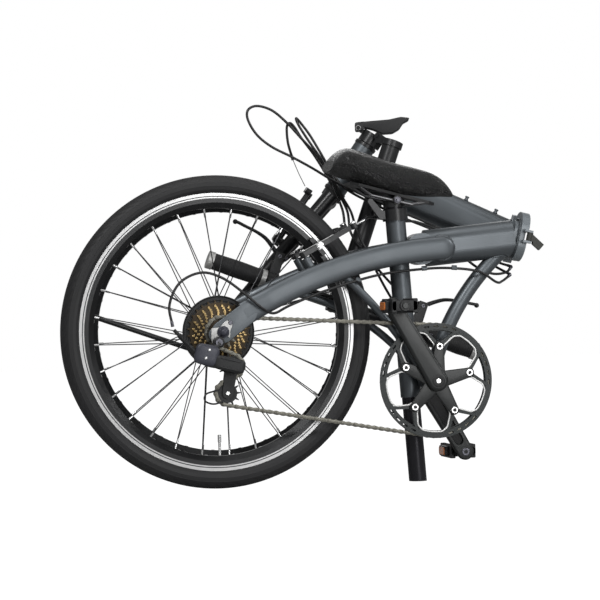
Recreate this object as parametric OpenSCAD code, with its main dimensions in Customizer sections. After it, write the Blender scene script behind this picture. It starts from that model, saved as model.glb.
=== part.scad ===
// Folding bicycle, shown folded: the front half lies behind the rear half and the bar hangs between.
// X runs from the rear wheel to the frame hinge, Y away from the drive side, Z up.

/* [Wheels] */
// Outer radius of the rim
rim_r = 260; // [250:0.5:266]
// Height of the tyre above the edge of the rim
tyre_h = 33.5; // [28:0.5:40]
// Width of the tyre
tyre_w = 40; // [36:1:46]
// Radial depth of the rim
rim_depth = 28; // [20:1:34]
// Width of the rim
rim_w = 24; // [20:1:28]
// Spokes in each wheel
spoke_count = 28; // [20:4:36]
// Diameter of a spoke
spoke_d = 2; // [1.6:0.2:2.4]

/* [Rear hub] */
// Distance between the rear dropouts
rear_gap = 132; // [130:1:136]
// Diameter of the rear axle
rear_axle_d = 10; // [9:0.5:10]
// Thickness of a dropout plate
dropout_t = 7; // [5:0.5:8]

/* [Rear frame] */
// Height of the main tube
tube_h = 70; // [60:1:76]
// Width of the main tube
tube_w = 50; // [44:1:56]
// Diameter of the seat tube
seat_tube_d = 38; // [37:0.5:42]
// Diameter of the seat post
post_d = 33.9; // [31:0.1:34]
// Backward lean of the seat tube as folded
seat_lean = 3.6; // [2:0.1:6]
// Distance from the rear hub to the foot of the seat post
foot_x = 380; // [375:1:390]
// Height of a stay
stay_h = 44; // [36:1:48]
// Thickness of a stay
stay_t = 18; // [14:1:20]
// Diameter of a lower strut
strut_d = 15; // [12:0.5:17]
// Diameter of the curved down tube
down_d = 28; // [24:0.5:32]
// Radius of the bottom bracket shell
shell_r = 20.5; // [20:0.5:23]
// Half length of the bottom bracket shell
shell_half = 34; // [34:0.5:36]

/* [Frame hinge] */
// Lean of the hinge pin as folded
hinge_tilt = 13.4; // [10:0.1:16]
// Sideways offset of the hinge pin
hinge_side = 42; // [41:0.5:48]
// Angle left open between the folded halves
fold_gap = 11.5; // [11:0.1:14]
// Diameter of the hinge pin
hinge_pin_d = 10; // [8:0.5:12]
// Half height of the hinge plates
plate_half = 47; // [42:1:50]
// Thickness of a hinge plate
plate_t = 16; // [12:1:18]

/* [Front frame and fork] */
// Lean of the steering axis from the hinge pin
steer_lean = 22.3; // [20:0.1:25]
// Width of the front tube at the head
front_tube_w = 28; // [26:1:30]
// Length of the head tube
head_len = 100; // [90:1:110]
// Diameter of the head tube
head_d = 42; // [40:0.5:46]
// Diameter of the steerer
steerer_d = 28.6; // [25.4:0.1:30]
// Length of the fork from crown to hub
fork_len = 350; // [345:1:356]
// Forward offset of the front hub
fork_rake = 38; // [30:1:45]
// Distance between the fork ends
front_gap = 100; // [98:1:104]
// Diameter of the front axle
front_axle_d = 9; // [8:0.5:10]

/* [Bar and post] */
// Diameter of the handlepost
bar_post_d = 36; // [34:0.5:37]
// Length of the handlepost from its hinge to the bar
bar_post_len = 336; // [330:1:345]
// Turn of the handlepost pin from straight ahead
pin_turn = 49.6; // [48:0.1:52]
// Tilt of the handlepost pin
pin_tilt = 3.8; // [3:0.1:5]
// Distance of the handlepost pin from the steering axis
pin_side = 27; // [26:0.5:30]
// Angle through which the handlepost is folded
post_fold = 165.4; // [164:0.1:166]
// Diameter of the bar
bar_d = 25.4; // [22.2:0.1:26]
// Length of the bar
bar_len = 552; // [540:2:580]
// Sideways set of the bar in its clamp
bar_set = -7; // [-10:1:10]
// Diameter of a grip
grip_d = 33; // [30:0.5:34]

/* [Drive] */
// Length of a crank arm
crank_len = 165; // [160:1:170]
// Angle of the right crank arm
crank_turn = 120; // [118:1:122]
// Teeth on the chainring
ring_teeth = 52; // [48:1:53]
// Bolt circle of the chainring
bolt_circle = 130; // [120:1:134]
// Pitch of the chain
chain_pitch = 12.7; // [12.6:0.05:12.8]
// Sideways place of the chainring
ring_y = -45; // [-46:0.5:-44]
// Sideways place of the smallest sprocket
cog_y = -54; // [-55:0.5:-53]

/* [Saddle] */
// Length of the saddle
saddle_len = 250; // [235:1:265]
// Width of the saddle
saddle_w = 152; // [135:1:160]

/* [Hidden] */
$fn = 48;
fit = 0.05;
touch = 0.1;

beyond = 100;
tyre_r = tyre_w / 2;
wheel_r = rim_r + tyre_h;
hub = [0, 0, 293.5];
bracket = [407.5, 0, 191];
post_r = post_d / 2;
main_tilt = 5.2;
main_ref = [435, 0, 444];
main_dir = [cos(main_tilt), 0, sin(main_tilt)];
main_back = 30;
main_len = 172;
hinge_at = [600, hinge_side, 458];
crown_at = [366.5, 0, 17.25];
pin_height = 139;
bar_height = pin_height + bar_post_len;
ring_r = ring_teeth * chain_pitch / (2 * PI);
cog_teeth = [14, 16, 18, 20, 22, 24, 28];
cog_step = 4.8;
cog_r = cog_teeth[0] * chain_pitch / (2 * PI);
pulley_teeth = 11;
pulley_r = pulley_teeth * chain_pitch / (2 * PI);
guide_at = [17.5, 230];
tension_at = [8.5, 180];
arm_in = 58;
arm_t = 14;
left_arm_in = 56;
pedal_len = 92;
saddle_tilt = 13.8;
saddle_at = [345, 0, 590];
saddle_half = saddle_len / 2;

dark_grey = "#4c5159";
black = "#1b1c1e";
steel = "#b9bbbd";
pale_grey = "#9aa0a8";

// Frames of reference

module set_down() { translate([-foot_x, 0, 0]) children(); }
module at_hinge() { translate(hinge_at) rotate([0, hinge_tilt, 0]) children(); }
module front() { at_hinge() rotate([0, 0, 180 - fold_gap]) translate([0, -hinge_side, 0]) children(); }
module steering() { front() translate(crown_at) rotate([0, -steer_lean, 0]) children(); }
module front_wheel() { steering() translate([fork_rake, 0, -fork_len]) children(); }
module along_pin() { rotate([0, 0, pin_turn]) rotate([0, 90 + pin_tilt, 0]) children(); }
pin_at = [pin_side * cos(pin_turn + 90), pin_side * sin(pin_turn + 90), pin_height];
pin_dir = [-cos(pin_tilt) * cos(pin_turn), -cos(pin_tilt) * sin(pin_turn), sin(pin_tilt)];
module post_frame() {
    steering() translate(pin_at) rotate(a = post_fold, v = pin_dir) translate(-pin_at) children();
}
module bar_frame() { post_frame() translate([0, bar_set, bar_height]) children(); }

// Shared shapes

module rod(p, q, r, r2 = undef) {
    v = q - p;
    len = norm(v);
    translate(p) rotate([0, acos(v.z / len), atan2(v.y, v.x)])
        cylinder(h = len, r1 = r, r2 = is_undef(r2) ? r : r2);
}
module across(r, from, to) { translate([0, from, 0]) rotate([-90, 0, 0]) cylinder(r = r, h = to - from); }
module slot_shape(h, w) {
    d = min(h, w);
    square([h > w ? h - d : h, h > w ? w : w - d], center = true);
    for (s = [-1, 1]) translate(h > w ? [s * (h - d) / 2, 0] : [0, s * (w - d) / 2]) circle(d = d);
}
module ring(r, bore, from, to) {
    translate([0, from, 0]) rotate([-90, 0, 0]) difference() {
        cylinder(r = r, h = to - from);
        translate([0, 0, -1]) cylinder(r = bore, h = to - from + 2);
    }
}
function spin(v, axis, ang) = v * cos(ang) + cross(axis, v) * sin(ang) + axis * (axis * v) * (1 - cos(ang));
// Sweeps a flat outline along the arc through three points
module arc_sweep(a, b, c) {
    u = b - a;
    v = c - a;
    n = cross(u, v);
    ctr = a + (cross(n, u) * (v * v) + cross(v, n) * (u * u)) / (2 * (n * n));
    axis = n / norm(n);
    turn = acos(axis.z);
    about = norm([axis.x, axis.y]) < 0.0001 ? [1, 0, 0] : [-axis.y, axis.x, 0] / norm([axis.x, axis.y]);
    w = spin(a - ctr, about, -turn);
    e = spin(c - ctr, about, -turn);
    sweep = (atan2(e.y, e.x) - atan2(w.y, w.x) + 720) % 360;
    translate(ctr) rotate(a = turn, v = about) rotate([0, 0, atan2(w.y, w.x)])
        rotate_extrude(angle = sweep, $fn = 96) translate([norm(a - ctr), 0]) children();
}
module plate(from, to) { translate([0, to, 0]) rotate([90, 0, 0]) linear_extrude(to - from) children(); }
// A flat bar with a round end of its own radius at each of two points
module flat_link(p, q, r1, r2) {
    d = norm(q - p);
    lean = asin((r1 - r2) / d);
    near = (r1 - 0.04) * [sin(lean), cos(lean)];
    far = [d, 0] + (r2 - 0.04) * [sin(lean), cos(lean)];
    translate(p) rotate([0, 0, atan2(q.y - p.y, q.x - p.x)]) {
        circle(r = r1);
        translate([d, 0]) circle(r = r2);
        polygon([near, far, [far.x, -far.y], [near.x, -near.y]]);
    }
}
module toothed(teeth, root, tip, phase) {
    half = 2.5;
    circle(r = root, $fn = 96);
    for (k = [0 : teeth - 1]) rotate(phase + (k + 0.5) * 360 / teeth)
        polygon([[root - 1, -half], [root + 1, -half * 0.75], [tip, -0.9], [tip, 0.9],
                 [root + 1, half * 0.75], [root - 1, half]]);
}

// Chain path: round the ring, over the sprocket and through the two pulleys

wheels = [[bracket.x, bracket.z, ring_r, ring_y], [hub.x, hub.z, cog_r, cog_y],
          [guide_at.x, guide_at.y, -pulley_r, cog_y], [tension_at.x, tension_at.y, pulley_r, cog_y]];
n_wheels = len(wheels);
// Heading of the run from wheel i to the next
function run_heading(i) = let (p = wheels[i], q = wheels[(i + 1) % n_wheels], dx = q.x - p.x, dy = q.y - p.y)
    atan2(dy, dx) + asin((p[2] - q[2]) / norm([dx, dy]));
function run_len(i) = let (p = wheels[i], q = wheels[(i + 1) % n_wheels])
    sqrt(pow(q.x - p.x, 2) + pow(q.y - p.y, 2) - pow(p[2] - q[2], 2));
function leave(i) = run_heading(i) - 90;
function arrive(i) = run_heading((i + n_wheels - 1) % n_wheels) - 90;
function wrap(i) = wheels[i][2] > 0 ? (leave(i) - arrive(i) + 720) % 360
    : -((arrive(i) - leave(i) + 720) % 360);
function arc_len(i) = abs(wrap(i)) * PI / 180 * abs(wheels[i][2]);
function start_of(i) = i == 0 ? 0 : start_of(i - 1) + arc_len(i - 1) + run_len(i - 1);
chain_len = start_of(n_wheels - 1) + arc_len(n_wheels - 1) + run_len(n_wheels - 1);
link_count = 2 * round(chain_len / chain_pitch / 2);
pitch = chain_len / link_count;
function on_wheel(i, ang) = [wheels[i].x + wheels[i][2] * cos(ang), wheels[i].y + wheels[i][2] * sin(ang)];
function chain_at(s, i = 0) = let (t = s - start_of(i))
    i < n_wheels - 1 && t >= arc_len(i) + run_len(i) ? chain_at(s, i + 1)
    : t < arc_len(i) ? concat(on_wheel(i, arrive(i) + wrap(i) * t / arc_len(i)), [wheels[i][3]])
    : let (f = (t - arc_len(i)) / run_len(i), p = on_wheel(i, leave(i)),
           q = on_wheel((i + 1) % n_wheels, leave(i)), y0 = wheels[i][3], y1 = wheels[(i + 1) % n_wheels][3])
      concat(p + (q - p) * f, [y0 + (y1 - y0) * min(1, max(0, (f - 0.14) / 0.72))]);
// Angle of the first roller that lies on wheel i
function roller_angle(i) = let (s = ceil(start_of(i) / pitch) * pitch - start_of(i))
    arrive(i) + wrap(i) * s / arc_len(i) + (wheels[i][2] < 0 ? 180 : 0);

// Cable sweep: a round casing through hand placed points

cable_sides = 8;
function unit(v) = v / norm(v);
function heading(p, i) = unit(p[min(i + 1, len(p) - 1)] - p[max(i - 1, 0)]);
function carry(p, i) = i == 0 ? unit(cross(heading(p, 0), [0.3, 0.8, 0.52]))
    : let (h = heading(p, i), u = carry(p, i - 1)) unit(u - h * (h * u));
module cable(p, d) {
    n = len(p);
    rings = [for (i = [0 : n - 1]) let (u = carry(p, i), w = cross(heading(p, i), u))
        for (k = [0 : cable_sides - 1]) p[i] + d / 2 * (u * cos(k * 45) + w * sin(k * 45))];
    m = cable_sides;
    last = (n - 1) * m;
    sides = [for (i = [0 : n - 2]) for (k = [0 : m - 1]) let (a = i * m + k, b = i * m + (k + 1) % m)
        each [[a, a + m, b], [b, a + m, b + m]]];
    ends = [for (k = [1 : m - 2]) each [[0, k, k + 1], [last, last + k + 1, last + k]]];
    polyhedron(rings, concat(sides, ends));
}
cable_d = 5;
shift_route = [[584, 42, 388], [562, 22, 376], [540, -14, 374], [505, -25, 394], [455, -25, 402],
               [395, -32, 402], [300, -50, 392], [200, -60, 366], [130, -62, 340], [96, -72, 326],
               [70, -84, 338], [42, -86, 362], [0, -85, 393], [-40, -84, 404], [-80, -84, 386],
               [-100, -85, 346], [-95, -85, 306]];
brake_route = [[587, 42, 404], [572, 36, 392], [540, 33, 392], [500, 33, 415], [450, 33, 470],
               [400, 31, 492], [372, 30, 495], [330, 29, 500], [302, 14, 503], [284, -18, 497]];
front_brake_route = [[150.6, 95.7, 425.7], [180, 78, 446], [215, 70, 470], [250, 68, 484],
                     [263.9, 72, 479.5], [266.5, 89, 516.6], [257.1, 105.5, 552.2], [242.4, 116, 587.8],
                     [217.8, 116, 628.9], [195, 116, 660.1], [181.9, 117, 681.6], [172.5, 118, 691.4],
                     [166.1, 118, 683.8], [167.8, 119, 652.9], [178.1, 126, 620.3], [191.6, 138, 593.7],
                     [205.2, 150, 570.7]];
rear_brake_route = [[405.8, 87.5, 331.9], [368, 73, 362], [332, 68, 400], [300, 68, 440],
                    [278.2, 75, 475.5], [276, 92, 516.6], [264.1, 102, 548.1], [248.1, 106, 583.4],
                    [224, 108, 624.4], [189.6, 108, 663.5], [164.4, 106, 690.7], [135.1, 103, 714.8],
                    [105.5, 100, 723.6], [87.4, 98, 715.9], [86.7, 97, 696.7], [103.7, 98, 667.8],
                    [132.7, 100, 644.5], [171.5, 101, 624.7], [209.8, 99, 602.9], [247.1, 92, 578.8],
                    [283.6, 81, 558.4], [329, 75, 536.1], [385.1, 72, 510.9], [451.8, 64, 479.4],
                    [550, 60, 420], [589, 48, 403]];
shifter_route = [[430.8, 60.5, 274.8], [402.7, 61.4, 285.1], [368, 61, 322], [338, 62, 372],
                 [312, 62, 425], [288.6, 68, 478.9], [281.4, 85, 516.2], [267.5, 95, 545.8],
                 [250.8, 100, 583], [229.4, 97, 617.9], [201.9, 92, 656.5], [183.7, 90, 685.4],
                 [181.1, 100, 698.7], [189, 111, 694.6], [208.7, 114.5, 669.5], [229.5, 114.5, 634.4],
                 [249.5, 111, 597.1], [265.9, 98, 570.1], [287.3, 81, 550.6], [332.4, 73.5, 526.4],
                 [384.3, 70, 501.2], [451.6, 64, 470.7], [548, 66, 412], [586, 48, 388]];

// Rear frame

function seat_axis(z) = [foot_x - z * tan(seat_lean), 0, z];
seat_tube_z = [160, 512];
module seat_tube_solid() { rod(seat_axis(seat_tube_z[0]), seat_axis(seat_tube_z[1]), seat_tube_d / 2); }
module shell_solid() { translate(bracket) across(shell_r, -shell_half, shell_half); }
module rear_frame() {
    color(dark_grey) set_down() difference() {
        union() {
            translate(main_ref - main_dir * (main_back + 11))
                across(tube_h / 2 - 5, 3 - tube_w / 2, tube_w / 2 - 3);
            main_body();
            seat_tube_solid();
            shell_solid();
            translate([bracket.x - 26, -14, bracket.z - 12]) cube([20, 28, 24]);
        }
        rod(seat_axis(100), seat_axis(600), post_r + fit);
        translate(bracket) across(17.5, -shell_half - 1, shell_half + 1);
    }
}
module main_body(grow = 0) {
    translate(main_ref - main_dir * main_back) rotate([0, 90 - main_tilt, 0]) linear_extrude(main_len)
        slot_shape(tube_h + 2 * grow, tube_w + 2 * grow);
}
strut_at = [[562, 0, 438], [468, 0, 331], [414, 0, 205]];
module strut_sweep(d) { arc_sweep(strut_at[0], strut_at[1], strut_at[2]) circle(d = d); }
module down_strut() {
    color(dark_grey) set_down() difference() {
        strut_sweep(down_d);
        main_body(touch);
        translate(bracket) across(shell_r + touch, -60, 60);
    }
}
// A stay with its dropout plate and brake stud, on one side of the wheel
stand_at = [-20, 88, 255];
stand_pin_r = 4;
brake_tilt = 28;
brake_at = [164, 44, 429];
brake_up = [-sin(brake_tilt), 0, cos(brake_tilt)];
stay_ends = [[432, 34.5, 441], [252, 50, 413], [42, 68, 326]];
// Where the dropout plate meets the end of the stay
dropout_top = [46, 327];
module stay(side) {
    pts = [for (p = stay_ends) [p.x, side * p.y, p.z]];
    stud = [brake_at.x, side * brake_at.y, brake_at.z];
    inner = rear_gap / 2;
    difference() {
        union() {
            arc_sweep(pts[2], pts[1], pts[0]) slot_shape(stay_h, stay_t);
            translate(pts[0]) across(stay_h / 2, -stay_t / 2, stay_t / 2);
            plate(side > 0 ? inner : -inner - dropout_t, side > 0 ? inner + dropout_t : -inner) {
                flat_link([0, hub.z], dropout_top, 21, 20);
                translate([-14, hub.z - 4]) circle(r = 13);
                if (side > 0) flat_link([-6, hub.z - 6], [stand_at.x, stand_at.z], 15, 11);
            }
            if (side > 0) translate(stand_at) across(stand_pin_r, inner + dropout_t - 1 - stand_at.y, 9);
            rod(stud - brake_up * 36, stud - brake_up * 2, 8);
            rod(stud - brake_up * 4, stud + brake_up * 13, 4);
        }
        translate(hub) across(rear_axle_d / 2 + fit, -beyond, beyond);
        main_body(touch);
    }
}
module stay_right() { color(dark_grey) set_down() stay(-1); }
module stay_left() { color(dark_grey) set_down() stay(1); }
strut_right_at = [[228, -47, 400], [302, -36, 326], [392, -24, 200]];
strut_left_at = [[168, 55, 362], [278, 42, 314], [394, 24, 200]];
module lower_struts() {
    color(dark_grey) set_down() difference() {
        for (p = [strut_right_at, strut_left_at]) arc_sweep(p[0], p[1], p[2]) circle(d = strut_d);
        for (s = [-1, 1]) for (dz = [0, -touch]) translate([0, 0, dz]) stay(s);
        translate(bracket) across(shell_r + touch, -60, 60);
        rod(seat_axis(100), seat_axis(600), seat_tube_d / 2 + touch);
    }
}

// Frame hinge

knuckle_r = 9;
knuckle_half = 14;
module hinge_leaf() {
    translate([0, -hinge_side, 0]) rotate([90, 0, 90]) linear_extrude(plate_t - 0.2)
        slot_shape(tube_w + 12, 2 * plate_half);
}
module hinge_plate_rear() {
    pin_r = hinge_pin_d / 2;
    color(pale_grey) set_down() difference() {
        at_hinge() {
            difference() {
                translate([-plate_t, 0, 0]) hinge_leaf();
                translate([-6, -hinge_side - 60, -9]) cube([20, 60, 18]);
            }
            for (s = [-1, 1]) {
                translate([0, 0, s > 0 ? knuckle_half : -40]) cylinder(r = knuckle_r, h = 40 - knuckle_half);
                translate([-plate_t, -14, s > 0 ? knuckle_half : -40])
                    cube([plate_t - 0.3, 14, 40 - knuckle_half]);
            }
            translate([0, 0, -44]) cylinder(r = pin_r, h = 88);
            translate([0, -hinge_side - latch_side, 0]) {
                for (s = [-1, 1]) translate([-12, -6, s * (latch_half + 2.3) - 2]) {
                    cube([11.5, latch_side - 20, 4]);
                    cube([16, 12, 4]);
                }
                cylinder(r = latch_pin_r, h = 2 * latch_half + 8, center = true);
            }
            translate([-plate_t - 9, -hinge_side, 0]) rotate([0, 90, 0]) linear_extrude(10)
                slot_shape(tube_h - 12, tube_w - 12);
        }
        main_body(touch);
        at_hinge() translate([-plate_t + 1, -14 - 0.3, -knuckle_half]) cube([40, 40, 2 * knuckle_half]);
        strut_sweep(down_d + 2 * touch);
    }
    color(pale_grey) set_down() at_hinge() translate([0, 0, -knuckle_half])
        cylinder(r = pin_r, h = 2 * knuckle_half);
}
module hinge_plate_front() {
    color(pale_grey) set_down() at_hinge() rotate([0, 0, 180 - fold_gap]) difference() {
        union() {
            translate([0.3, 0, 0]) hinge_leaf();
            translate([0, 0, -knuckle_half + 0.3]) cylinder(r = knuckle_r, h = 2 * knuckle_half - 0.6);
            translate([0.3, -14, -knuckle_half + 0.3]) cube([plate_t - 0.5, 14, 2 * knuckle_half - 0.6]);
        }
        for (s = [-1, 1]) translate([-2, -14.3, s > 0 ? knuckle_half - 0.3 : -60])
            cube([40, 40, 60.3 - knuckle_half]);
        translate([0, 0, -60]) cylinder(r = hinge_pin_d / 2 + fit, h = 120);
    }
}
latch_side = 42;
latch_half = 8;
latch_pin_r = 3;
module frame_latch() {
    color(black) set_down() at_hinge() translate([0, -hinge_side - latch_side, 0]) difference() {
        union() {
            cylinder(r = 6, h = 2 * latch_half, center = true);
            intersection() {
                rotate([0, 30, 0]) translate([0, -5, -7]) cube([30, 10, 14]);
                translate([0, -10, -30]) cube([60, 20, 60]);
            }
        }
        cylinder(r = latch_pin_r + fit, h = 60, center = true);
        for (s = [-1, 1]) translate([0, 0, s > 0 ? latch_half : -latch_half - 30])
            cylinder(r = 9, h = 30);
    }
}

// Wheels

module tyre() {
    color(black) rotate([90, 0, 0]) rotate_extrude($fn = 128) difference() {
        translate([wheel_r - tyre_r, 0]) circle(r = tyre_r);
        translate([wheel_r - tyre_r, 0]) circle(r = tyre_r - 4);
        translate([0, -tyre_w]) square([rim_r + touch, 2 * tyre_w]);
    }
}
module rim() {
    w = rim_w / 2;
    color(black) rotate([90, 0, 0]) rotate_extrude($fn = 128) difference() {
        union() {
            translate([rim_r - 18, -w]) square([18, rim_w]);
            polygon([[rim_r - 18, -w], [rim_r - 18, w], [rim_r - rim_depth, 5], [rim_r - rim_depth, -5]]);
        }
        translate([rim_r - 14, -w + 2.5]) square([15, rim_w - 5]);
    }
}
spoke_gap = 0.4;
// Turn of each wheel on its axle as it stands
rear_turn = 40.5;
front_turn = 20.9;
module spokes(flange_r, left, right) {
    nipple_r = rim_r - rim_depth;
    for (k = [0 : spoke_count - 1]) {
        side = k % 2 == 0 ? left : right;
        trail = (floor(k / 2) % 2 == 0 ? 1 : -1) * 38;
        a = 360 * (k + 0.5) / spoke_count;
        from = [flange_r * cos(a + trail), side, flange_r * sin(a + trail)];
        to = [nipple_r * cos(a), 0, nipple_r * sin(a)];
        dir = unit(to - from);
        lift = (floor(k / 2) % 2 == 0 ? 1 : -1) * sign(side) * 1.6;
        start = from + [0, lift, 0];
        color(steel) rod(start, to - dir * spoke_gap, spoke_d / 2);
        color(steel) rod(to - dir * (9 + spoke_gap), to - dir * spoke_gap, 2);
    }
}
rear_flange_r = 26;
rear_left = 34;
rear_right = -17;
module rear_tyre() { set_down() translate(hub) tyre(); }
module rear_rim() { set_down() translate(hub) rim(); }
module rear_spokes() {
    set_down() translate(hub) rotate([0, rear_turn, 0]) spokes(rear_flange_r + 3, rear_left, rear_right);
}
module rear_hub() {
    bore = rear_axle_d / 2 + fit;
    color(steel) set_down() translate(hub) {
        ring(16, bore, rear_right, rear_left + 8);
        ring(rear_flange_r, bore, rear_right - 1.5, rear_right + 1.5);
        ring(rear_flange_r, bore, rear_left - 1.5, rear_left + 1.5);
        ring(17, bore, cog_y - 3, rear_right);
    }
}
module rear_valve() {
    length = 44;
    top = rim_r - 14.2;
    color(steel) set_down() translate(hub) rotate([0, 90, 0]) {
        translate([top - length, 0, 0]) rotate([0, 90, 0]) cylinder(r = 2.6, h = length - rim_depth + 13.4);
        translate([top - length - 9, 0, 0]) rotate([0, 90, 0]) cylinder(r = 3.4, h = 14);
    }
}
module spoke_guard() {
    guard_r = 68;
    guard_bore = 17.2;
    color(black) set_down() translate(hub) ring(guard_r, guard_bore, rear_right - 5.5, rear_right - 3.5);
}
module rear_axle() {
    r = rear_axle_d / 2;
    inner = rear_gap / 2;
    color("#3a3c40") set_down() translate(hub) {
        across(r, -inner - dropout_t - 13, inner + dropout_t + 13);
        across(9, -inner, cog_y - 3.3);
        across(9, rear_left + 8.3, inner);
        across(10, inner + dropout_t, inner + dropout_t + 9);
        across(10, -inner - dropout_t - 12.2, -inner - dropout_t - 3.2);
    }
}
module cassette() {
    color("#8a6f3f") set_down() translate(hub) difference() {
        union() for (k = [0 : len(cog_teeth) - 1]) {
            r = cog_teeth[k] * chain_pitch / (2 * PI);
            y = cog_y + cog_step * k;
            plate(y - 1, y + 1) toothed(cog_teeth[k], r - 3.9, r + 3.4, k == 0 ? roller_angle(1) : 0);
            if (k > 0) ring(min(22, r - 5), 17.2, y - cog_step, y);
        }
        across(17 + fit, -beyond, 0);
    }
}
module front_tyre() { set_down() front_wheel() tyre(); }
module front_rim() { set_down() front_wheel() rim(); }
front_flange = 33;
front_flange_r = 18;
module front_spokes() {
    set_down() front_wheel() rotate([0, front_turn, 0])
        spokes(front_flange_r + 3, front_flange, -front_flange);
}
module front_hub() {
    bore = front_axle_d / 2 + fit;
    color(steel) set_down() front_wheel() {
        ring(13, bore, -front_flange - 6, front_flange + 6);
        for (s = [-1, 1]) ring(front_flange_r, bore, s * front_flange - 1.5, s * front_flange + 1.5);
    }
}
module front_axle() {
    r = front_axle_d / 2;
    inner = front_gap / 2;
    color("#3a3c40") set_down() front_wheel() {
        across(r, -inner - 17, inner + 17);
        for (s = [-1, 1]) {
            across(8, s > 0 ? front_flange + 6.3 : -inner, s > 0 ? inner : -front_flange - 6.3);
            across(9, s > 0 ? inner + 6 : -inner - 14, s > 0 ? inner + 14 : -inner - 6);
        }
    }
}

// Drive

module spider() {
    for (k = [0 : 4]) rotate(crank_turn + 36 + 72 * k) flat_link([0, 0], [bolt_circle / 2, 0], 17, 9);
}
module arm_shape(turn) {
    tip = crank_len * [cos(turn), sin(turn)];
    flat_link([0, 0], tip, 20, 16);
}
module crank_right() {
    tip = crank_len * [cos(crank_turn), sin(crank_turn)];
    color(black) set_down() translate(bracket) difference() {
        union() {
            plate(-arm_in - arm_t, -arm_in) arm_shape(crank_turn);
            difference() {
                plate(-arm_in - touch, -arm_in + 5.5) spider();
                for (k = [0 : 4]) rotate([0, -(crank_turn + 36 + 72 * k), 0])
                    translate([bolt_circle / 2, 0, 0]) across(5.1, -arm_in - 1, -arm_in + 7);
            }
            translate([tip.x, 0, tip.y]) across(6, -arm_in - arm_t - pedal_len - 4, -arm_in - 2);
        }
        across(8.5 + fit, -beyond, 0);
    }
}
module chainring() {
    guard_in = -arm_in + 5.7;
    color("#16191a") set_down() translate(bracket) {
        plate(ring_y - 1, ring_y + 1) difference() {
            toothed(ring_teeth, ring_r - 3.9, ring_r + 2.4, roller_angle(0));
            circle(r = ring_r - 11, $fn = 96);
        }
        plate(guard_in, guard_in + 2.6) {
            difference() {
                circle(r = ring_r + 3.4, $fn = 96);
                circle(r = ring_r - 9, $fn = 96);
                guard_slots();
            }
            tabs();
        }
        plate(guard_in + 2.5, ring_y + 1) difference() {
            tabs();
            circle(r = bolt_circle / 2 - 9);
        }
    }
}
module guard_slots() {
    for (k = [0 : 4]) for (a = [-15, -5, 5, 15]) rotate(crank_turn + 36 + 72 * k + a)
        flat_link((ring_r - 2.8) * [cos(2), -sin(2)], (ring_r - 2.8) * [cos(2), sin(2)], 1.7, 1.69);
}
module tabs() {
    for (k = [0 : 4]) rotate(crank_turn + 36 + 72 * k) difference() {
        union() {
            translate([bolt_circle / 2, 0]) circle(r = 8);
            for (s = [-1, 1])
                flat_link([bolt_circle / 2 + 2, s * 3], (ring_r - 9.8) * [cos(17), s * sin(17)], 4, 3.2);
        }
        translate([bolt_circle / 2, 0]) circle(r = 5.1);
    }
}
module crank_bolts() {
    color(steel) set_down() translate(bracket) {
        for (k = [0 : 4]) rotate([0, -(crank_turn + 36 + 72 * k), 0]) translate([bolt_circle / 2, 0, 0]) {
            across(5, -arm_in - 1, ring_y + 2);
            across(6.4, -arm_in - 3, -arm_in - 0.1);
            across(6.4, ring_y + 1.1, ring_y + 2.6);
        }
        across(8, -arm_in - arm_t + 3, -60.1);
    }
}
module crank_left() {
    turn = crank_turn + 180;
    tip = crank_len * [cos(turn), sin(turn)];
    color(black) set_down() translate(bracket) {
        difference() {
            plate(left_arm_in, left_arm_in + arm_t) arm_shape(turn);
            plate(left_arm_in + arm_t - 5, left_arm_in + arm_t + 1)
                flat_link(0.27 * tip, 0.8 * tip, 9, 8);
        }
        across(8.5, -60, left_arm_in + 1);
        translate([tip.x, 0, tip.y]) across(6, left_arm_in + 2, left_arm_in + arm_t + pedal_len + 4);
    }
}
module pedal(side) {
    turn = side > 0 ? crank_turn + 180 : crank_turn;
    at = bracket + crank_len * [cos(turn), 0, sin(turn)];
    in = side > 0 ? left_arm_in + arm_t + 1.5 : arm_in + arm_t + 1.5;
    from = side > 0 ? in : -in - pedal_len;
    translate(at) difference() {
        union() {
            across(11, from, from + pedal_len);
            for (x = [-25, 15]) translate([x, from + 4, -13]) cube([10, pedal_len - 8, 26]);
            for (y = [from + 4, from + pedal_len - 14]) translate([-20, y, -10]) cube([40, 10, 20]);
            translate([-33.5, from + 24, -9]) cube([8.6, pedal_len - 48, 18]);
        }
        across(6 + fit, from - 1, from + pedal_len + 1);
    }
}
module pedal_right() { color(black) set_down() pedal(-1); }
module pedal_left() { color(black) set_down() pedal(1); }
module bracket_cups() {
    color(steel) set_down() translate(bracket) for (s = [-1, 1]) {
        ring(17.4, 8.5 + fit, s > 0 ? 20 : -shell_half - 1, s > 0 ? shell_half + 1 : -20);
        ring(shell_r, 8.5 + fit, s > 0 ? shell_half + 0.2 : -shell_half - 4,
             s > 0 ? shell_half + 4 : -shell_half - 0.2);
    }
}
module chain() {
    link_r = 4.1;
    color("#77756c") set_down() for (k = [0 : link_count - 1]) {
        a = chain_at(k * pitch);
        b = chain_at((k + 1) * pitch % chain_len);
        y = (a[2] + b[2]) / 2;
        half = k % 2 == 0 ? 1.75 : 2.8;
        p = [a[0], a[1]];
        q = [b[0], b[1]];
        for (s = [-1, 1]) plate(y + s * half - 0.45, y + s * half + 0.45)
            flat_link(p, q, link_r, link_r - 0.01);
        if (k % 2 == 0) for (c = [p, q]) translate([c.x, 0, c.y]) across(2.2, y - half, y + half);
    }
}

// Derailleur

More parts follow.
